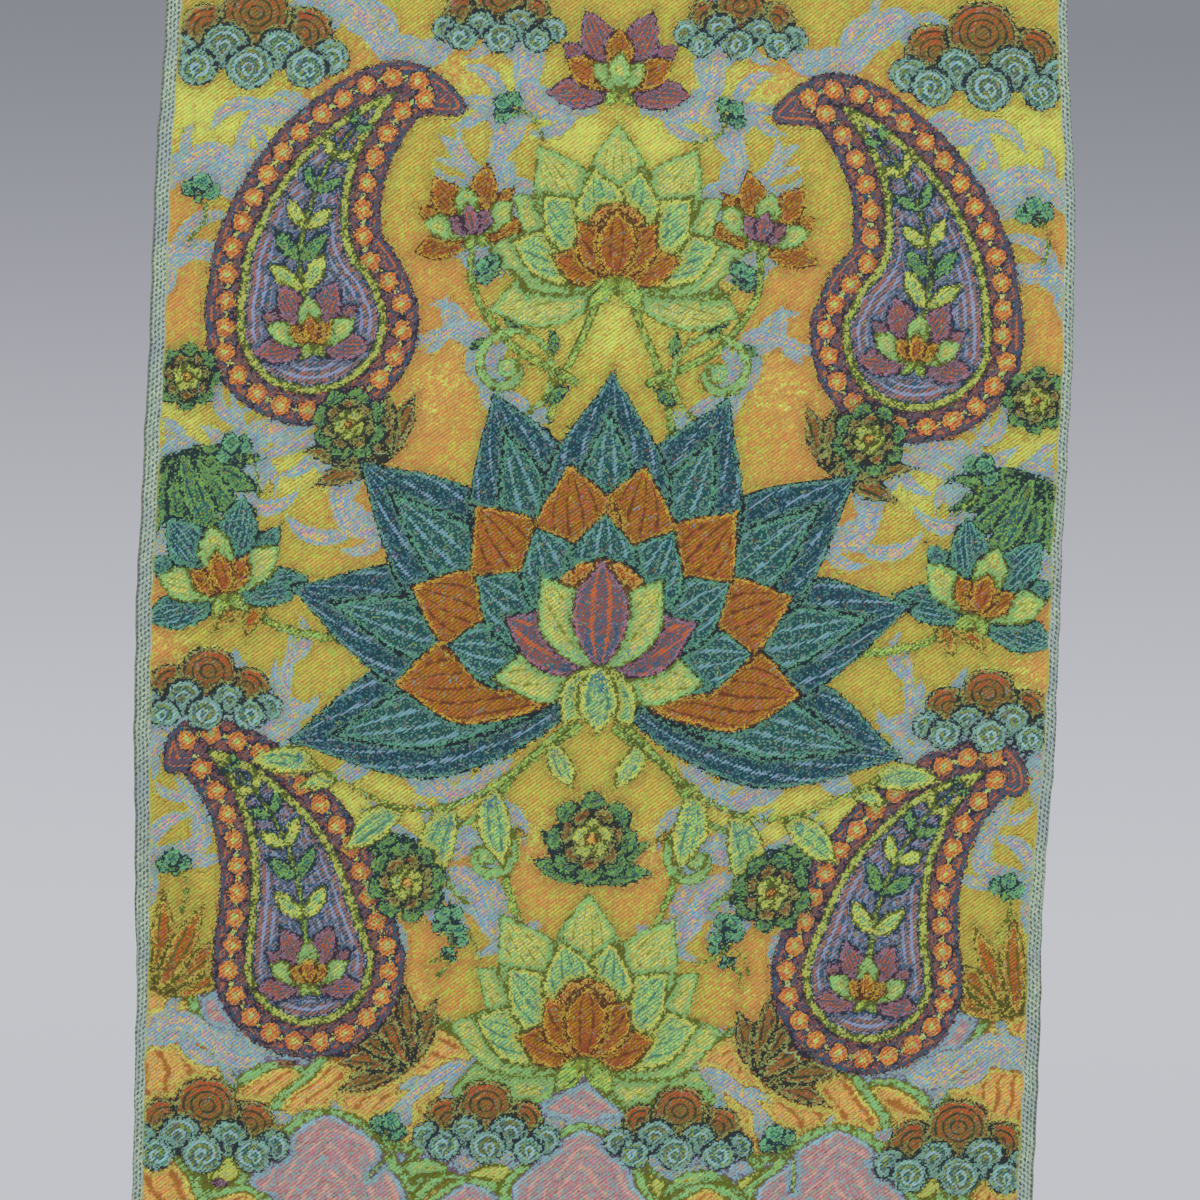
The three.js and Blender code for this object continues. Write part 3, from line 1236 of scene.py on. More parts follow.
MIDDLE_ROCK = Peak((0, 456), 66, 0, 1, Area.ROCK, 104)
SIDE_FLOWERS: tuple[Motif, ...] = (
    Lotus((124, 212), 30, 16, 1, Area.TEAL_PETAL, Area.LIME_PETAL, Area.RUST_PETAL),
    Lotus((48, 96), 22, 14, 1, Area.RUST_PETAL, Area.LIME_PETAL, Area.WINE_PETAL),
)
MIDDLE_LINE: tuple[Motif, ...] = (
    Spray((0, 312), 30, 0, 1, Area.TEAL_LEAF, 70, 7), Peony((0, 298), 15),
    Spray((0, 160), 22, 180, 1, Area.RUST_LEAF, 60, 5),
    Lotus((0, 46), 26, 0, 1, Area.WINE_PETAL, Area.RUST_PETAL, Area.LIME_PETAL),
    Lotus((0, 100), 46, 0, 1, Area.LIME_PETAL, Area.JADE_PETAL, Area.RUST_PETAL),
    Lotus((0, 352), 50, 0, 1, Area.LIME_PETAL, Area.JADE_PETAL, Area.RUST_PETAL),
    GreatLotus((0, 242), 88),
)
IN_FRONT: tuple[Motif, ...] = (
    Peony((60, 314), 13, 12), Peony((84, 166), 12, 30), Peony((137, 152), 11, 0),
    Cloud((120, 42), 27), Cloud((40, 33), 19, 0, -1), Cloud((126, 254), 21),
    Cloud((32, 392), 21, 0, -1), Cloud((124, 396), 24),
    Sprig((138, 108), 16, -10), Sprig((24, 72), 15, 50),
    Sprig((112, 190), 16, 30), Sprig((28, 122), 14, 60),
    Sprig((36, 338), 15, 40), Sprig((134, 326), 15, 10), Sprig((70, 410), 16, -20),
)


@dataclass(frozen=True)
class Glow:
    """A soft streak where the ground turns to another yarn."""

    knots: tuple[Place, ...]
    reach: float
    strength: float

    def at(self, chart: Chart, flip: int) -> np.ndarray:
        """The share of that yarn at every point of the chart.

        Args:
            chart: the chart.
            flip: 1 for the right of the middle line, and -1 for the left.

        Returns:
            Shares from 0 to 1.
        """
        run = curve(tuple((flip * a, d) for a, d in self.knots), 4)
        broad = chart.stroke(run, 6 * self.reach, 6 * self.reach)
        gap = broad.distance + 3 * self.reach
        share = np.zeros(chart.across.size)
        share[broad.near] = self.strength * np.exp(-((gap / self.reach) ** 2))
        return share


def glow_over(chart: Chart, streaks: tuple[Glow, ...]) -> np.ndarray:
    """The share of another ground yarn, most where a streak passes on either side."""
    return np.max([streak.at(chart, flip) for streak in streaks for flip in (1, -1)], axis=0)


PALE_GLOWS: tuple[Glow, ...] = (
    Glow(((0, 84), (30, 60), (70, 54), (100, 70), (146, 66)), 14, 1.0),
    Glow(((146, 150), (130, 176), (92, 182), (60, 158), (40, 130)), 9, 0.95),
    Glow(((0, 130), (24, 128)), 18, 0.8),
    Glow(((146, 232), (120, 284), (70, 290), (20, 300)), 11, 0.9),
    Glow(((146, 330), (120, 352), (60, 350)), 11, 0.8),
)
WARM_GLOWS: tuple[Glow, ...] = (
    Glow(((146, 96), (144, 130)), 16, 0.9),
    Glow(((50, 46), (96, 54)), 14, 0.7),
    Glow(((60, 116), (56, 150), (72, 196)), 22, 0.85),
    Glow(((146, 186), (146, 250)), 13, 0.9),
    Glow(((20, 310), (50, 320), (60, 370)), 20, 0.8),
    Glow(((146, 360), (100, 392)), 14, 0.7),
)


@dataclass(frozen=True)
class Design:
    """The whole design, laid from the back to the front.

    A fill is how much open ground a small figure needs about it, and how large it is.
    """

    seed: int = 11
    tries: int = 700
    fills: Rows = ((5.0, 20.0), (2.0, 14.0), (0.3, 9.0))
    fill_across: tuple[float, float] = (16, 145)
    fill_down: tuple[float, float] = (6, 446)

    def lay(self, chart: Chart) -> None:
        """Lays every motif, the paired ones to both sides of the middle line.

        Args:
            chart: the loom's chart.
        """
        self.lay_pairs(chart, BEHIND)
        WATER.lay(chart)
        self.lay_pairs(chart, ROCKS)
        MIDDLE_ROCK.lay(chart)
        self.lay_pairs(chart, SIDE_FLOWERS)
        for motif in MIDDLE_LINE:
            motif.lay(chart)
        self.lay_pairs(chart, IN_FRONT)
        self.scatter(chart)

    def lay_pairs(self, chart: Chart, motifs: tuple[Motif | Trail, ...]) -> None:
        """Lays motifs and their mirrored twins.

        Args:
            chart: the loom's chart.
            motifs: the figures to the right of the middle line.
        """
        for motif in motifs:
            motif.lay(chart)
            motif.mirrored().lay(chart)

    def scatter(self, chart: Chart) -> None:
        """Fills the open ground with small figures in pairs, the larger ones first.

        Args:
            chart: the loom's chart.
        """
        random = np.random.default_rng(self.seed)
        for clear, size in self.fills:
            placed = 0
            for _ in range(self.tries):
                spot = float(random.uniform(*self.fill_across)), float(random.uniform(*self.fill_down))
                heading = float(random.uniform(-180, 180))
                kind = int(random.integers(5))
                if not chart.is_open(spot, clear):
                    continue
                self.lay_pairs(chart, (self.figure(kind, spot, heading, size),))
                placed += 1
            LOG.info("scattered %d pairs of small figures of %.1f mm", placed, size)

    def figure(self, kind: int, spot: Place, heading: float, size: float) -> Motif:
        """A small figure centred on a spot.

        Args:
            kind: which one, from 0 to 4.
            spot: its middle.
            heading: where it points.
            size: its length.

        Returns:
            The figure.
        """
        foot = ahead_of(spot, heading, -0.45 * size)
        return (
            Sprig(foot, 0.9 * size, 0.4 * heading),
            Spray(foot, size, heading, 1, Area.TEAL_LEAF, 42, 4),
            Spray(foot, size, heading, 1, Area.MIST, 46, 5),
            Sprig(foot, 0.8 * size, heading),
            Spray(foot, size, heading, 1, Area.CLOUD_BROWN, 50, 4),
        )[kind]


@dataclass(eq=False)
class Wire:
    """A number or a colour that varies over the cloth. Arithmetic on a number makes Math nodes.

    A node is made when its result is first used, and a product that a sum follows at once
    becomes one node with it.
    """

    tree: bpy.types.NodeTree
    operation: str = ""
    values: tuple["Wire | float", ...] = ()
    made: bpy.types.NodeSocket | None = None

    def socket(self) -> bpy.types.NodeSocket:
        """The socket that the wire comes out of.

        Returns:
            It, after making its node where that is still to be made.
        """
        if self.made is None:
            node = self.tree.nodes.new("ShaderNodeMath")
            node.operation = self.operation
            for place, value in zip(node.inputs, self.values):
                connect(self.tree, place, value)
            self.made = node.outputs[0]
        return self.made

    def op(self, operation: str, *others: "Wire | float") -> "Wire":
        """The result of one of the Math node's operations on this number and others."""
        return Wire(self.tree, operation, (self, *others))

    def __add__(self, other: "Wire | float") -> "Wire":
        """The sum, in one node with the product that it follows."""
        fused = self.operation == "MULTIPLY" and self.made is None
        return Wire(self.tree, "MULTIPLY_ADD", (*self.values, other)) if fused else self.op("ADD", other)

    def __sub__(self, other: "Wire | float") -> "Wire":
        """The difference."""
        return self.op("SUBTRACT", other) if isinstance(other, Wire) else self + -other

    def __rsub__(self, other: float) -> "Wire":
        """The difference from a constant."""
        return Wire(self.tree, "SUBTRACT", (other, self))

    def __mul__(self, other: "Wire | float") -> "Wire":
        """The product."""
        return self.op("MULTIPLY", other)

    def __truediv__(self, other: "Wire | float") -> "Wire":
        """The quotient."""
        return self.op("DIVIDE", other)

    def __lt__(self, other: "Wire | float") -> "Wire":
        """1 where this is the lesser, and 0 elsewhere."""
        return self.op("LESS_THAN", other)

    def __gt__(self, other: "Wire | float") -> "Wire":
        """1 where this is the greater, and 0 elsewhere."""
        return self.op("GREATER_THAN", other)

    def __abs__(self) -> "Wire":
        """The size without the sign."""
        return self.op("ABSOLUTE")

    def floor(self) -> "Wire":
        """The whole number below."""
        return self.op("FLOOR")

    def clamped(self) -> "Wire":
        """The number kept from 0 to 1."""
        return self.op("MAXIMUM", 0.0).op("MINIMUM", 1.0)


def connect(tree: bpy.types.NodeTree, socket: bpy.types.NodeSocket, value: object) -> None:
    """Leads a wire to a socket, or gives the socket a constant.

    Args:
        tree: the shader's nodes.
        socket: the input.
        value: a wire, a number or a colour.
    """
    if isinstance(value, Wire):
        tree.links.new(value.socket(), socket)
    else:
        socket.default_value = value


@dataclass
class NodeSheet:
    """Short hands for the nodes of a shader that are more than arithmetic."""

    tree: bpy.types.NodeTree

    def add(self, kind: str, inputs: dict[str | int, object], **settings: object) -> bpy.types.Node:
        """Adds a node.

        Args:
            kind: its type.
            inputs: a wire or a constant for each input's name or number.
            settings: its own settings.

        Returns:
            The node.
        """
        node = self.tree.nodes.new(kind)
        for name, setting in settings.items():
            setattr(node, name, setting)
        for place, value in inputs.items():
            connect(self.tree, node.inputs[place], value)
        return node

    def wire(self, socket: bpy.types.NodeSocket) -> Wire:
        """The wire that comes out of a socket."""
        return Wire(self.tree, made=socket)

    def mix(self, share: object, under: object, over: object, blend: str = "MIX") -> Wire:
        """A colour mix, from the one under to the one over as the share goes from 0 to 1.

        Args:
            share: how much of the colour over shows.
            under: the colour where the share is 0.
            over: the colour where it is 1.
            blend: the node's way of blending.

        Returns:
            The mixed colour.
        """
        inputs = {"Factor": share, 6: under, 7: over}
        node = self.add("ShaderNodeMix", inputs, data_type="RGBA", blend_type=blend)
        return self.wire(node.outputs[2])

    def split(self, vector: Wire) -> list[Wire]:
        """The three parts of a vector or a colour."""
        return [self.wire(part) for part in self.add("ShaderNodeSeparateXYZ", {0: vector}).outputs]

    def join(self, *values: object) -> Wire:
        """A vector from three numbers."""
        return self.wire(self.add("ShaderNodeCombineXYZ", dict(enumerate(values))).outputs[0])

    def parts(self, name: str) -> list[Wire]:
        """The three parts of a vector attribute of the mesh."""
        attribute = self.add("ShaderNodeAttribute", {}, attribute_name=name)
        return self.split(self.wire(attribute.outputs["Vector"]))

    def dice(self, first: Wire, second: Wire, throw: float) -> list[Wire]:
        """Three random numbers for each whole-numbered cell."""
        noise = self.add(
            "ShaderNodeTexWhiteNoise", {"Vector": self.join(first, second, throw)},
            noise_dimensions="3D")
        return self.split(self.wire(noise.outputs["Color"]))

    def cells(self, across: Wire, down: Wire, size: float, throw: float) -> list[Wire]:
        """Three random numbers for each square of the cloth, whose size is in millimetres."""
        return self.dice((across / size).floor(), (down / size).floor(), throw)

    def mottle(self, across: Wire, down: Wire, size: float, detail: float) -> list[Wire]:
        """Three soft noises over the cloth.

        Args:
            across: millimetres from the middle line.
            down: millimetres below the top edge.
            size: of their patches, in millimetres.
            detail: how many finer noises each one adds.

        Returns:
            Numbers from 0 to 1.
        """
        place = {"Vector": self.join(across, down, size), "Scale": 1 / size, "Detail": detail}
        noise = self.add(
            "ShaderNodeTexNoise", {**place, "Roughness": 0.6}, noise_dimensions="2D")
        return self.split(self.wire(noise.outputs["Color"]))

    def stepped(self, place: Wire, stops: list[tuple[float, ...]]) -> tuple[Wire, Wire]:
        """A ramp of flat steps.

        Args:
            place: the step's number as a share of the card's rows.
            stops: each step's colour and one more number.

        Returns:
            The colour and the number.
        """
        ramp = self.add("ShaderNodeValToRGB", {0: place})
        ramp.color_ramp.interpolation = "CONSTANT"
        elements = ramp.color_ramp.elements
        while len(elements) > 1:
            elements.remove(elements[-1])
        elements[0].position, elements[0].color = 0.0, stops[0]
        for number, stop in enumerate(stops[1:], 1):
            elements.new(number / CARD_ROWS).color = stop
        return self.wire(ramp.outputs[0]), self.wire(ramp.outputs[1])


@dataclass(frozen=True)
class Spot:
    """What the shader knows of a point of the cloth.

    Across, down and side give its place, and the wave is the twill's height. Grain, floats,
    patches and dice are three random numbers each: for a pick, for a float of yarn, in soft
    patches, and for a cell of an outline. The row is its area's in the card, as a share. The
    depth is in millimetres inside the area, and veins counts the motif's lines. The tone is the
    shares of the turn yarn and of the warm yarn, and the shadow.
    """

    sheet: NodeSheet
    across: Wire
    down: Wire
    side: Wire
    wave: Wire
    grain: list[Wire]
    floats: list[Wire]
    patches: list[Wire]
    dice: list[Wire]
    row: Wire
    depth: Wire
    veins: Wire
    tone: list[Wire]

    def sunk(self) -> Wire:
        """How far the twill lies back, which keeps other yarns from showing."""
        return self.wave * -0.22 + 0.12

    def chance(self, run: int, grain: int, patch: int) -> Wire:
        """A random number that clumps along the floats and in soft patches."""
        mixed = self.floats[run] * 0.42 + self.grain[grain] * 0.58
        return mixed + (self.patches[patch] * 0.8 - 0.4)


@dataclass(frozen=True)
class DyeBath:
    """How strongly the yarns take the dye, and the darkest and the lightest that they turn out."""

    strength: float = 1.18
    darkest: float = 8.0
    lightest: float = 250.0

    def dyed(self, colour: Colour) -> tuple[float, float, float, float]:
        """A display colour in the strength of the dye, as a shader's constant.

        Args:
            colour: as it stands in the yarn card.

        Returns:
            Linear red, green and blue, and 1.
        """
        grey = sum(colour) / 3
        parts = (grey + self.strength * (part - grey) for part in colour)
        return opaque(tuple(min(max(part, self.darkest), self.lightest) for part in parts))

    def column(
        self, spot: Spot, colour: str, number: str = "", scale: float = 1.0,
    ) -> tuple[Wire, Wire]:
        """One column of colours of the yarn card, and one of numbers beside it.

        Args:
            spot: the point of the cloth.
            colour: the colours' name.
            number: the numbers' name, or nothing.
            scale: what the numbers are divided by.

        Returns:
            The colour and the number of the point's own area.
        """
        card = [YARN_CARD[area] for area in Area]
        numbers = [getattr(yarns, number) / scale if number else 1.0 for yarns in card]
        colours = [self.dyed(getattr(yarns, colour))[:3] for yarns in card]
        stops = [(*dyed, extra) for dyed, extra in zip(colours, numbers)]
        return spot.sheet.stepped(spot.row, stops)


@dataclass(frozen=True)
class SelvedgeFinish:
    """The two selvedges: a bright line, then dark dots on a pale ground, in millimetres."""

    width: float = 5.0
    line_width: float = 1.0
    column_width: float = 1.25
    dot_pitch: float = 1.7
    patch_size: float = 14.0
    rim_width: float = 0.8
    pale: Colour = (186, 196, 170)
    middle: Colour = (134, 158, 148)
    cold: Colour = (146, 160, 164)
    dot: Colour = (42, 58, 50)
    rim: Colour = (84, 86, 70)
    line: Colour = (166, 168, 86)

    def over(self, spot: Spot, cloth: Wire) -> Wire:
        """Lays the selvedges over the face.

        Args:
            spot: the point of the cloth.
            cloth: the colour inside the selvedges.

        Returns:
            The colour with both of them.
        """
        mix, dice = spot.sheet.mix, spot.dice
        from_side = HALF_WIDTH - abs(spot.across)
        column = from_side / self.column_width
        place = spot.down * (1 / self.dot_pitch) + column.floor() * 0.5
        over = column.op("FRACT") - 0.5
        along = over * 0.5 + (place.op("FRACT") - 0.5)
        gap = (over * over + along * along).op("SQRT")
        is_dot = gap < dice[0] * 0.26 + 0.16
        patches = spot.sheet.mottle(spot.across, spot.down, self.patch_size, 1.0)
        ground = mix(dice[1], opaque(self.pale), opaque(self.middle))
        ground = mix((patches[0] * 2.0 - 0.8).clamped(), ground, opaque(self.cold))
        band = mix(is_dot * (dice[2] * 0.4 + 0.55), ground, opaque(self.dot))
        band = mix((from_side < self.rim_width) * 0.40, band, opaque(self.rim))
        in_line = from_side < dice[0] * self.line_width + self.width
        cloth = mix(in_line * 0.6, cloth, opaque(self.line))
        border = patches[1] * 2.0 + (self.width - 1.0)
        return mix(from_side < border, cloth, band)


@dataclass(frozen=True)
class ReverseFinish:
    """The back: long loose floats across the cloth in muted yarns of the same areas."""

    pick: float = 0.55
    float_length: float = 5.5
    muted: Colour = (140, 136, 110)

    def colour(self, spot: Spot, bath: DyeBath) -> Wire:
        """The colour of the back.

        Args:
            spot: the point of the cloth.
            bath: how the yarns are dyed.

        Returns:
            The colour.
        """
        mix = spot.sheet.mix
        turn, fall, fleck = (bath.column(spot, name)[0] for name in ("turn", "fall", "fleck"))
        pick = (spot.down / self.pick).floor()
        reach = pick * 0.61 + spot.across / self.float_length
        strand = spot.sheet.dice(pick, reach.floor(), 11.0)
        colour = mix(strand[1] < 0.3, mix(strand[0], turn, fleck), fall)
        return mix(spot.dice[2] * 0.25 + 0.35, colour, opaque(self.muted))


@dataclass(frozen=True)
class BrocadeFinish:
    """The jacquard twill: the chart's areas in yarn, with the selvedges and the back."""

    length: float
    hem_depth: float
    twill_slope: float = 37.6
    twill_pitch: float = 1.037
    cell: float = 0.55
    grain: float = 0.50
    float_length: float = 2.4
    patch_size: float = 4.5
    roughness: float = 0.62
    sheen: float = 0.10
    relief: float = 0.00012
    warm_ground: Colour = (188, 138, 82)
    uneven_tint: float = 0.38
    ragged: float = 0.5
    ragged_tail: float = 5.0
    wobble_size: float = 2.6
    wobble_reach: float = 1.6
    strays: float = 0.12
    stray_strength: float = 0.5
    # How much the twill's ridges are painted lighter and its hollows painted darker.
    twill_relief_shade: float = 0.14
    shadow_depth: float = 0.38
    widest_band: float = 4.0
    bath: DyeBath = DyeBath()
    selvedge: SelvedgeFinish = SelvedgeFinish()
    reverse: ReverseFinish = ReverseFinish()

    def build(self) -> bpy.types.Material:
        """Makes the material.

        Returns:
            The material, which reads the chart from the mesh's attributes.
        """
        material = bpy.data.materials.new("jacquard_silk_twill")
        material.use_nodes = True
        sheet = NodeSheet(material.node_tree)
        shader = material.node_tree.nodes["Principled BSDF"]
        spot = self.spot(sheet)
        cloth = self.selvedge.over(spot, self.face(spot))
        back = self.reverse.colour(spot, self.bath)
        in_hem = abs(spot.down - 0.5 * self.length) > 0.5 * self.length - self.hem_depth
        in_selvedge = abs(spot.across) > HALF_WIDTH - self.selvedge.width
        behind = (spot.side > 0.5) - in_hem.op("MAXIMUM", in_selvedge)
        height = spot.grain[0] * 0.5 + spot.wave * 0.5
        bump = sheet.add("ShaderNodeBump", {"Strength": 0.8, "Distance": self.relief, "Height": height})
        inputs = {
            "Base Color": sheet.mix(behind.op("MAXIMUM", 0.0), cloth, back),
            "Roughness": spot.floats[2] * 0.16 + (self.roughness - 0.08),
            "Sheen Weight": self.sheen,
            "Sheen Roughness": 0.45,
            "Specular IOR Level": 0.25,
            "Normal": sheet.wire(bump.outputs[0]),
        }
        for name, value in inputs.items():
            connect(sheet.tree, shader.inputs[name], value)
        return material

    def spot(self, sheet: NodeSheet) -> Spot:
        """Works out all that the shader knows of a point.

        Args:
            sheet: the shader.

        Returns:
            The point of the cloth.
        """
        across, down, side = sheet.parts("weave_place")
        slope = math.radians(self.twill_slope)
        rise, run = math.sin(slope), math.cos(slope)
        twill = down * (run / self.twill_pitch) + across * (rise / self.twill_pitch)
        along = across * (run / self.float_length) + down * (-rise / self.float_length)
        twill_line = twill.floor()
        floats = sheet.dice(twill_line, (twill_line * 0.37 + along).floor(), 3.0)
        first, dice = (sheet.cells(across, down, self.cell, throw) for throw in (0.0, 7.0))
        wobble = sheet.mottle(across, down, self.wobble_size, 2.0)
        area = self.choose_area(sheet, [*first, *dice], wobble)
        return Spot(
            sheet, across, down, side, (twill * (2 * math.pi)).op("SINE"),
            sheet.cells(across, down, self.grain, 13.0), floats,
            sheet.mottle(across, down, self.patch_size, 2.0), dice, *area, sheet.parts("chart_tone"))

    def choose_area(
        self, sheet: NodeSheet, chances: list[Wire], wobble: list[Wire],
    ) -> tuple[Wire, Wire, Wire]:
        """Finds which area of the chart a point lies in.

        Args:
            sheet: the shader.
            chances: six random numbers for each cell of an outline.
            wobble: three soft noises that move the outlines.

        Returns:
            The card's row as a share of the ramp, the depth inside the area in millimetres and
            the count of veins.
        """
        distances, areas = (
            [part for group in range(3) for part in sheet.parts(f"chart_{kind}_{group}")]
            for kind in ("distance", "area"))
        ragged = []
        for number, chance in enumerate(chances):
            centred = chance - 0.5
            shift = centred * (centred * centred * self.ragged_tail + self.ragged)
            ragged.append((wobble[number % 3] - 0.5) * self.wobble_reach + shift)
        best = distances[0] + ragged[0]
        row = 0.0
        for shed in range(1, SHEDS + 1):
            distance = distances[shed] + ragged[shed % 6]
            nearer = distance < best
            best = best.op("MINIMUM", distance)
            row = nearer * (areas[shed - 1] - row) + row
        return (row + 0.5) / CARD_ROWS, best * -1.0, areas[SHEDS]

    def face(self, spot: Spot) -> Wire:
        """The colour of the face, from the yarn card.

        Args:
            spot: the point of the cloth.

        Returns:
            The colour.
        """
        mix, grain, floats, patches = spot.sheet.mix, spot.grain, spot.floats, spot.patches
        shade, warmth, dim = spot.tone
        rise, fall, turn = (self.bath.column(spot, name)[0] for name in ("rise", "fall", "turn"))
        fleck, fleck_share = self.bath.column(spot, "fleck", "fleck_share")
        bias = grain[0] * 1.8 - 0.9 + (patches[0] * 2.4 - 1.2)
        colour = mix(((spot.wave + bias) * 1.3 + 0.5).clamped(), fall, rise)
        colour = mix(spot.chance(0, 1, 1) < fleck_share, colour, fleck)
        colour = mix(grain[1] < fleck_share * 0.9, colour, fleck)
        colour = mix(spot.chance(1, 2, 2) + spot.sunk() < shade, colour, turn)
        is_ground = spot.row < 1 / CARD_ROWS
        warmed = (spot.chance(2, 0, 0) + spot.sunk() < warmth) * (is_ground * 0.85)
        colour = mix(warmed, colour, self.bath.dyed(self.warm_ground))

        which = floats[1] * (len(STRAY_WEFTS) / CARD_ROWS)
        stray, _ = spot.sheet.stepped(which, [self.bath.dyed(weft) for weft in STRAY_WEFTS])
        astray = patches[1] * (4 * self.strays) - 1.2 * self.strays
        is_stray = grain[2] < astray - is_ground
        colour = self.outlined(spot, mix(is_stray * self.stray_strength, colour, stray))

        # Painted shadow just outside laid shapes, and painted light and shade on the twill's ridges and
        # hollows; each float also varies at random in brightness.
        shadow = dim * (grain[2] + 0.4) * -self.shadow_depth + 1.0
        light = shadow * (spot.wave * self.twill_relief_shade + (floats[2] * 0.16 + 0.90))
        even = 1 - 0.5 * self.uneven_tint
        tints = ((part * self.uneven_tint + even) * light for part in (grain[2], grain[0], grain[1]))
        return mix(1.0, colour, spot.sheet.join(*tints), "MULTIPLY")

    def outlined(self, spot: Spot, colour: Wire) -> Wire:
        """Adds an area's veins, and the band and the edge inside its outline.

        Args:
            spot: the point of the cloth.
            colour: the colour without them.

        Returns:
            The colour with them.
        """
        mix, widest = spot.sheet.mix, self.widest_band
        line, line_share = self.bath.column(spot, "line", "line_share")
        edge, edge_width = self.bath.column(spot, "edge", "edge_width", widest)
        band, band_width = self.bath.column(spot, "band", "band_width", widest)
        uneven = spot.sunk() * 0.5 + (spot.floats[1] * 0.36 - 0.18)
        from_vein = spot.veins.op("PINGPONG", 0.5) * 2.0 + uneven
        colour = mix(from_vein < line_share, colour, line)
        in_band = spot.depth < edge_width * widest + band_width * widest * (spot.grain[1] + 0.5)
        colour = mix(in_band * (band_width > 0.01), colour, band)
        in_edge = spot.depth < edge_width * widest * (spot.floats[0] * 1.3 + 0.2)
        return mix(in_edge * (edge_width > 0.01), colour, edge)


@dataclass(frozen=True)
class Lie:
    """Where each vertex lies on the cloth.

    The share across goes from -1 at the left to 1 at the right. The drop is in millimetres below
    the top edge. The side is 0 in front and 1 behind.
    """

    share: np.ndarray
    drop: np.ndarray
    side: np.ndarray


@dataclass
class BrocadePanel:
    """The woven panel: one closed sheet, fine in front and coarser behind.

    Rolled is how much of a selvedge is hidden where it rolls back. The left one begins to roll
    and the right one leaves off between the two places down the cloth that their rolls give.
    """

    form: ClothForm
    design: Design
    finish: BrocadeFinish
    back_columns: int = 114
    back_rows: int = 171
    rolled: float = 1.9
    left_roll: tuple[float, float] = (300, 390)
    right_roll: tuple[float, float] = (220, 390)
    front_map_width: float = 0.66
    map_margin: float = 0.002

    def build(self) -> bpy.types.Object:
        """Makes the cloth's mesh, its chart and its map, and dresses it.

        Returns:
            The panel, which stands for the solid of the same place.
        """
        mesh = bpy.data.meshes.new("woven_panel")
        shell = bmesh.new()
        self.shape_shell(shell)
        shell.to_mesh(mesh)
        shell.free()
        lie = self.read_shell(mesh)
        self.hang(mesh, lie)
        self.write_chart(mesh, lie)
        self.write_map(mesh, lie)
        mesh.shade_smooth()
        panel = bpy.data.objects.new("woven_panel", mesh)
        bpy.context.scene.collection.objects.link(panel)
        mesh.materials.append(self.finish.build())
        return panel

    def shape_shell(self, shell: bmesh.types.BMesh) -> None:
        """Makes a flat unit shell: a grid, given a wall, with its front cut finer.

        Args:
            shell: an empty mesh to make it in.
        """
        bmesh.ops.create_grid(
            shell, x_segments=self.back_columns, y_segments=self.back_rows, size=0.5)
        bmesh.ops.solidify(shell, geom=shell.faces[:], thickness=0.1)
        front_z = max(vert.co.z for vert in shell.verts)
        edges = [e for e in shell.edges if all(abs(v.co.z - front_z) < 1e-4 for v in e.verts)]
        bmesh.ops.subdivide_edges(shell, edges=edges, cuts=1, use_grid_fill=True)
        wide = [face for face in shell.faces if len(face.verts) > 4]
        bmesh.ops.triangulate(shell, faces=wide)
        bmesh.ops.recalc_face_normals(shell, faces=shell.faces[:])

    def read_shell(self, mesh: bpy.types.Mesh) -> Lie:
        """Reads where each vertex of the unit shell lies.

        Args:
            mesh: the unit shell.

        Returns:
            Its place on the cloth.
        """
        flat = np.empty(3 * len(mesh.vertices), np.float32)
        mesh.vertices.foreach_get("co", flat)
        unit = flat.reshape(-1, 3).astype(float)
        low, high = unit.min(0), unit.max(0)
        shares = (unit - low) / (high - low)
        return Lie(2 * shares[:, 0] - 1, (1 - shares[:, 1]) * self.form.length, 1 - shares[:, 2])

    def hang(self, mesh: bpy.types.Mesh, lie: Lie) -> None:
        """Hangs the shell in its folds, in metres, with its face to the front.

        Args:
            mesh: the unit shell.
            lie: where each vertex lies.
        """
        left, right = self.form.sides(lie.drop)
        across = left + 0.5 * (lie.share + 1) * (right - left)
        from_side = 0.5 * (1 - np.abs(lie.share)) * (right - left)
        from_end = np.minimum(lie.drop, self.form.length - lie.drop)
        thickness = self.form.thickness_at(from_side, from_end)
        face = -self.form.stands_out(across, lie.drop, lie.share)
        face = face - 0.5 * np.minimum(thickness, self.form.thickness)
        points = np.stack([across, face + lie.side * thickness, -lie.drop], 1) * MM
        mesh.vertices.foreach_set("co", points.astype(np.float32).ravel())
        mesh.update()

    def weave_place(self, lie: Lie) -> np.ndarray:
        """Where on the flat cloth each vertex lies, from its middle line.

        A selvedge that rolls back shows less of its width, so that the design there moves outwards.

        Args:
            lie: where each vertex lies.

        Returns:
            Millimetres to the right.
        """
        left = self.rolled * smooth_step(lie.drop, *self.left_roll) - HALF_WIDTH
        right = HALF_WIDTH - self.rolled * (1 - smooth_step(lie.drop, *self.right_roll))
        return left + 0.5 * (lie.share + 1) * (right - left)

    def write_chart(self, mesh: bpy.types.Mesh, lie: Lie) -> None:
        """Charts the design at every vertex and stores it on the mesh.

        Args:
            mesh: the cloth.
            lie: where each vertex lies.
        """
        chart = Chart(self.weave_place(lie), lie.drop)
        self.design.lay(chart)
        LOG.info("charted the design at %d points", chart.across.size)
        shade = np.where(chart.sheds[0] < 0, glow_over(chart, PALE_GLOWS), chart.shade)
        columns = {
            "weave_place": (chart.across, lie.drop, lie.side),
            "chart_tone": (shade, glow_over(chart, WARM_GLOWS), chart.dim),
        }
        counts = [*chart.areas[1:], chart.veins]
        for group in range(3):
            columns[f"chart_distance_{group}"] = chart.sheds[3 * group : 3 * group + 3]
            columns[f"chart_area_{group}"] = counts[3 * group : 3 * group + 3]
        for name, values in columns.items():
            layer = mesh.attributes.new(name, "FLOAT_VECTOR", "POINT")
            layer.data.foreach_set("vector", np.stack(values, 1).astype(np.float32).ravel())

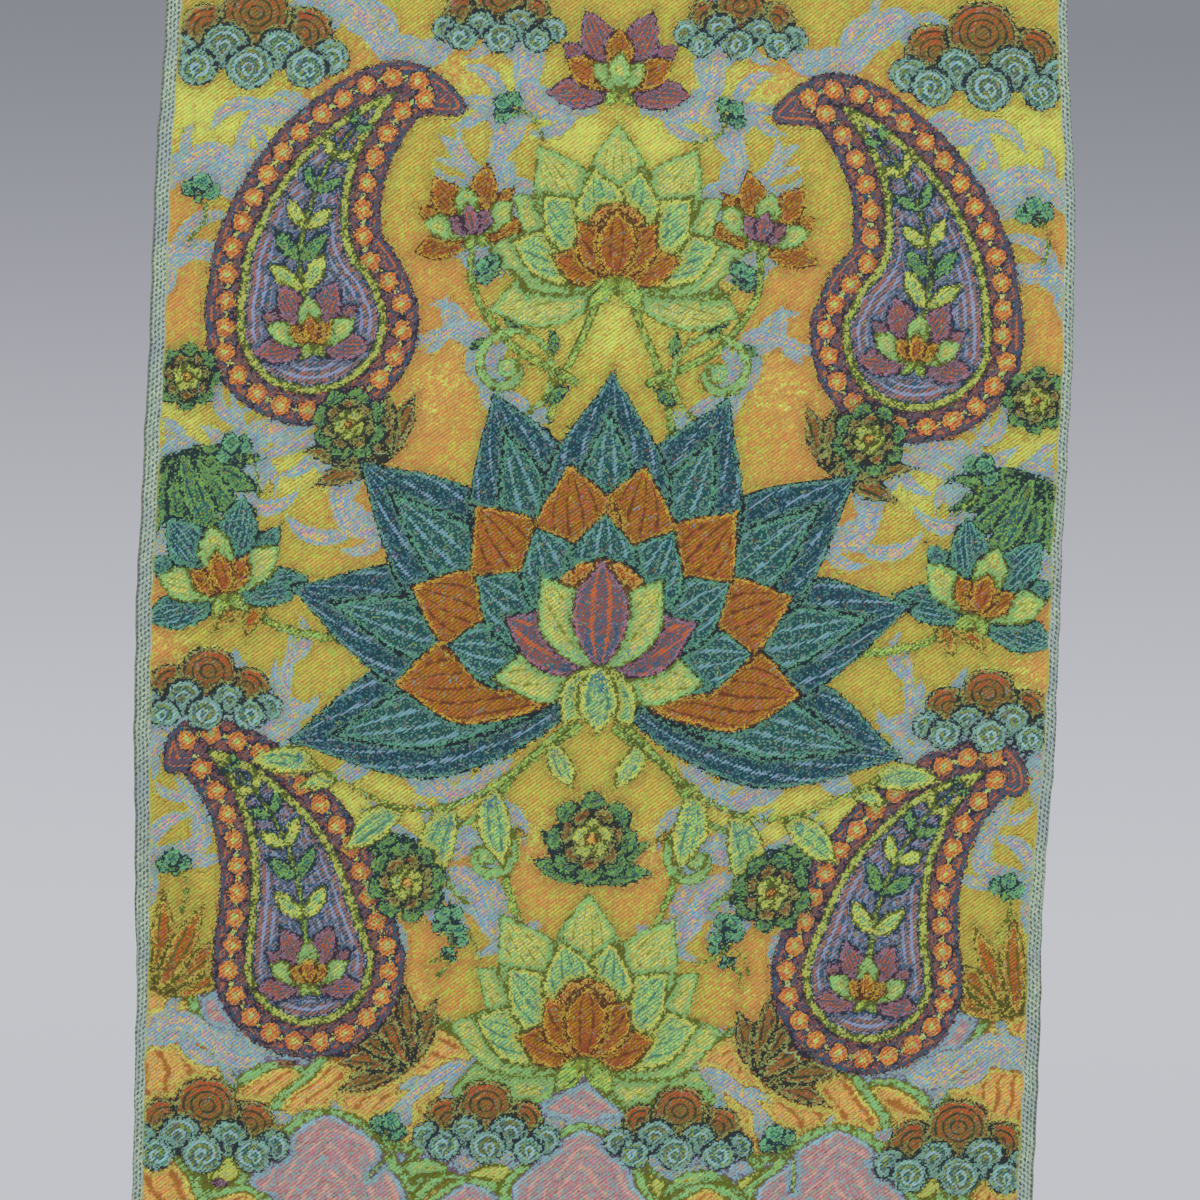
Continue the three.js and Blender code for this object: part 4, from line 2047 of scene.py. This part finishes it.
    def write_map(self, mesh: bpy.types.Mesh, lie: Lie) -> None:
        """Lays the face out over most of the map, the back small beside it, the rim between.

        Args:
            mesh: the cloth.
            lie: where each vertex lies.
        """
        corner = np.empty(len(mesh.loops), np.int32)
        mesh.loops.foreach_get("vertex_index", corner)
        starts, totals = (np.empty(len(mesh.polygons), np.int32) for _ in range(2))
        mesh.polygons.foreach_get("loop_start", starts)
        mesh.polygons.foreach_get("loop_total", totals)
        side = lie.side[corner]
        behind = np.repeat(np.add.reduceat(side, starts) / totals, totals)
        u, v = 0.5 * (lie.share[corner] + 1), 1 - lie.drop[corner] / self.form.length
        width, margin = self.front_map_width, self.map_margin
        back_width = 0.98 - width
        front = 0.003 + (width - 0.006) * u, margin + (1 - 2 * margin) * v
        back = width + 0.015 + back_width * (1 - u), 0.005 + 1.5 * back_width * v
        rim = width + margin + 0.008 * side, margin + 0.45 * v + 0.5 * u
        kinds = [behind > 0.99, behind > 0.01]
        places = [np.select(kinds, [b, r], f) for f, b, r in zip(front, back, rim)]
        layer = mesh.uv_layers.new(name="OFBake")
        layer.data.foreach_set("uv", np.stack(places, 1).astype(np.float32).ravel())


class PaperGlow(Enum):
    """The glow painted on the studio's paper, darker up the wall: heights above the floor's level in
    metres, and display colours.
    """

    FLOOR = (0.0, (193, 194, 199))
    LOW = (0.14, (197, 198, 202))
    LEVEL = (0.38, (185, 186, 192))
    MIDDLE = (0.67, (164, 165, 172))
    HIGH = (1.0, (130, 132, 140))


@dataclass(frozen=True)
class Lamp:
    """A soft square light: its place and size in metres and its power in watts."""

    name: str
    place: tuple[float, float, float]
    size: float
    power: float

    def hang(self, aim: Vector) -> None:
        """Hangs the light, turned to a place and out of the camera's sight.

        Args:
            aim: what it faces.
        """
        lamp = bpy.data.lights.new(self.name, "AREA")
        lamp.shape, lamp.size, lamp.energy = "SQUARE", self.size, self.power
        holder = bpy.data.objects.new(self.name, lamp)
        holder.rotation_euler = (aim - Vector(self.place)).to_track_quat("-Z", "Y").to_euler()
        holder.location = self.place
        holder.visible_camera = False
        bpy.context.scene.collection.objects.link(holder)


@dataclass
class Studio:
    """A pale floor that sweeps up into a plain backdrop, soft lights and the camera."""

    floor_height: float = -0.62
    wall_place: float = 3.5
    sweep_radius: float = 1.7
    half_width: float = 9.0
    wall_height: float = 3.0
    camera_distance: float = 1.5
    view_height: float = -0.2206
    frame_size: float = 0.3892
    roll: float = 1.62
    air: Colour = (206, 207, 211)
    air_strength: float = 0.5
    lamps: tuple[Lamp, ...] = (
        Lamp("key", (-1.1, -2.3, 1.2), 1.8, 42.0),
        Lamp("fill", (1.5, -2.1, 0.4), 1.8, 27.0),
        Lamp("back", (0.9, 1.9, 1.0), 1.5, 30.0),
    )

    def build(self) -> None:
        """Makes the sweep, the lights, the world and the camera."""
        self.build_sweep()
        for lamp in self.lamps:
            lamp.hang(Vector((0, 0, self.view_height)))
        self.build_world()
        self.build_camera()

    def build_sweep(self) -> None:
        """Extrudes the floor from one edge, spins the bend and extrudes the wall."""
        shape = bmesh.new()
        bend_start = self.wall_place - self.sweep_radius
        ends = [
            shape.verts.new((side * self.half_width, -self.half_width, self.floor_height))
            for side in (-1, 1)]
        run = Vector((0, self.half_width + bend_start, 0))
        edge = self.drawn_out(shape, shape.edges.new(ends), run)
        pivot = (0, bend_start, self.floor_height + self.sweep_radius)
        spun = bmesh.ops.spin(
            shape, geom=[edge, *edge.verts], cent=pivot, axis=(1, 0, 0), angle=math.pi / 2,
            steps=24, use_merge=False, use_normal_flip=False)
        last = next(part for part in spun["geom_last"] if isinstance(part, bmesh.types.BMEdge))
        self.drawn_out(shape, last, Vector((0, 0, self.wall_height)))
        bmesh.ops.recalc_face_normals(shape, faces=shape.faces[:])
        mesh = bpy.data.meshes.new("studio_sweep")
        shape.to_mesh(mesh)
        shape.free()
        mesh.shade_smooth()
        mesh.materials.append(self.paper())
        sweep = bpy.data.objects.new("studio_sweep", mesh)
        bpy.context.scene.collection.objects.link(sweep)

    def drawn_out(
        self, shape: bmesh.types.BMesh, edge: bmesh.types.BMEdge, run: Vector,
    ) -> bmesh.types.BMEdge:
        """Extrudes one edge along a run.

        Args:
            shape: the mesh.
            edge: the edge.
            run: how far it is drawn out, in metres.

        Returns:
            The new edge.
        """
        made = bmesh.ops.extrude_edge_only(shape, edges=[edge])["geom"]
        verts = [part for part in made if isinstance(part, bmesh.types.BMVert)]
        bmesh.ops.translate(shape, verts=verts, vec=run)
        return next(part for part in made if isinstance(part, bmesh.types.BMEdge))

    def paper(self) -> bpy.types.Material:
        """Makes plain paper that glows by itself, with painted light that darkens up the wall.

        Returns:
            The material.
        """
        material = bpy.data.materials.new("studio_paper")
        material.use_nodes = True
        sheet = NodeSheet(material.node_tree)
        sheet.tree.nodes.remove(sheet.tree.nodes["Principled BSDF"])
        places = sheet.wire(sheet.add("ShaderNodeTexCoord", {}).outputs["Object"])
        ramp = sheet.add("ShaderNodeValToRGB", {0: sheet.split(places)[2] - self.floor_height})
        ramp.color_ramp.interpolation = "B_SPLINE"
        while len(ramp.color_ramp.elements) < len(PaperGlow):
            ramp.color_ramp.elements.new(1.0)
        for stop, part in zip(ramp.color_ramp.elements, PaperGlow):
            stop.position, stop.color = part.value[0], opaque(part.value[1])
        # The paper is no lamp but glows: painted light, brighter at the floor and darker up the wall.
        glow = sheet.add("ShaderNodeEmission", {"Color": sheet.wire(ramp.outputs[0])})
        surface = sheet.tree.nodes["Material Output"].inputs["Surface"]
        connect(sheet.tree, surface, sheet.wire(glow.outputs[0]))
        return material

    def build_world(self) -> None:
        """Fills the room with even pale light."""
        world = bpy.data.worlds.new("studio_air")
        world.use_nodes = True
        background = world.node_tree.nodes["Background"]
        background.inputs["Color"].default_value = opaque(self.air)
        background.inputs["Strength"].default_value = self.air_strength
        bpy.context.scene.world = world

    def build_camera(self) -> None:
        """Sets the camera square to the cloth, rolled as the photograph is."""
        camera = bpy.data.cameras.new("camera")
        camera.sensor_width = 36.0
        camera.lens = camera.sensor_width * self.camera_distance / self.frame_size
        holder = bpy.data.objects.new("camera", camera)
        turn = Matrix.Rotation(math.radians(-self.roll), 4, "Y") @ Matrix.Rotation(
            math.radians(90), 4, "X")
        place = Matrix.Translation((0.0, -self.camera_distance, self.view_height))
        holder.matrix_world = place @ turn
        bpy.context.scene.collection.objects.link(holder)
        bpy.context.scene.camera = holder


def main() -> None:
    """Builds the panel and the studio in order and reports each."""
    logging.basicConfig(level=logging.INFO, format="%(name)s: %(message)s")
    bpy.context.scene.view_settings.view_transform = "Standard"
    Studio().build()
    LOG.info("built the studio and the camera")
    low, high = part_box(PANEL_NODE)
    form = ClothForm(length=(high[2] - low[2]) / MM)
    panel = BrocadePanel(form, Design(), BrocadeFinish(form.length, form.hem_depth)).build()
    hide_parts(PANEL_NODE)
    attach(panel, "root")
    LOG.info("built %s with %d faces", panel.name, len(panel.data.polygons))


if __name__ == "__main__":
    main()
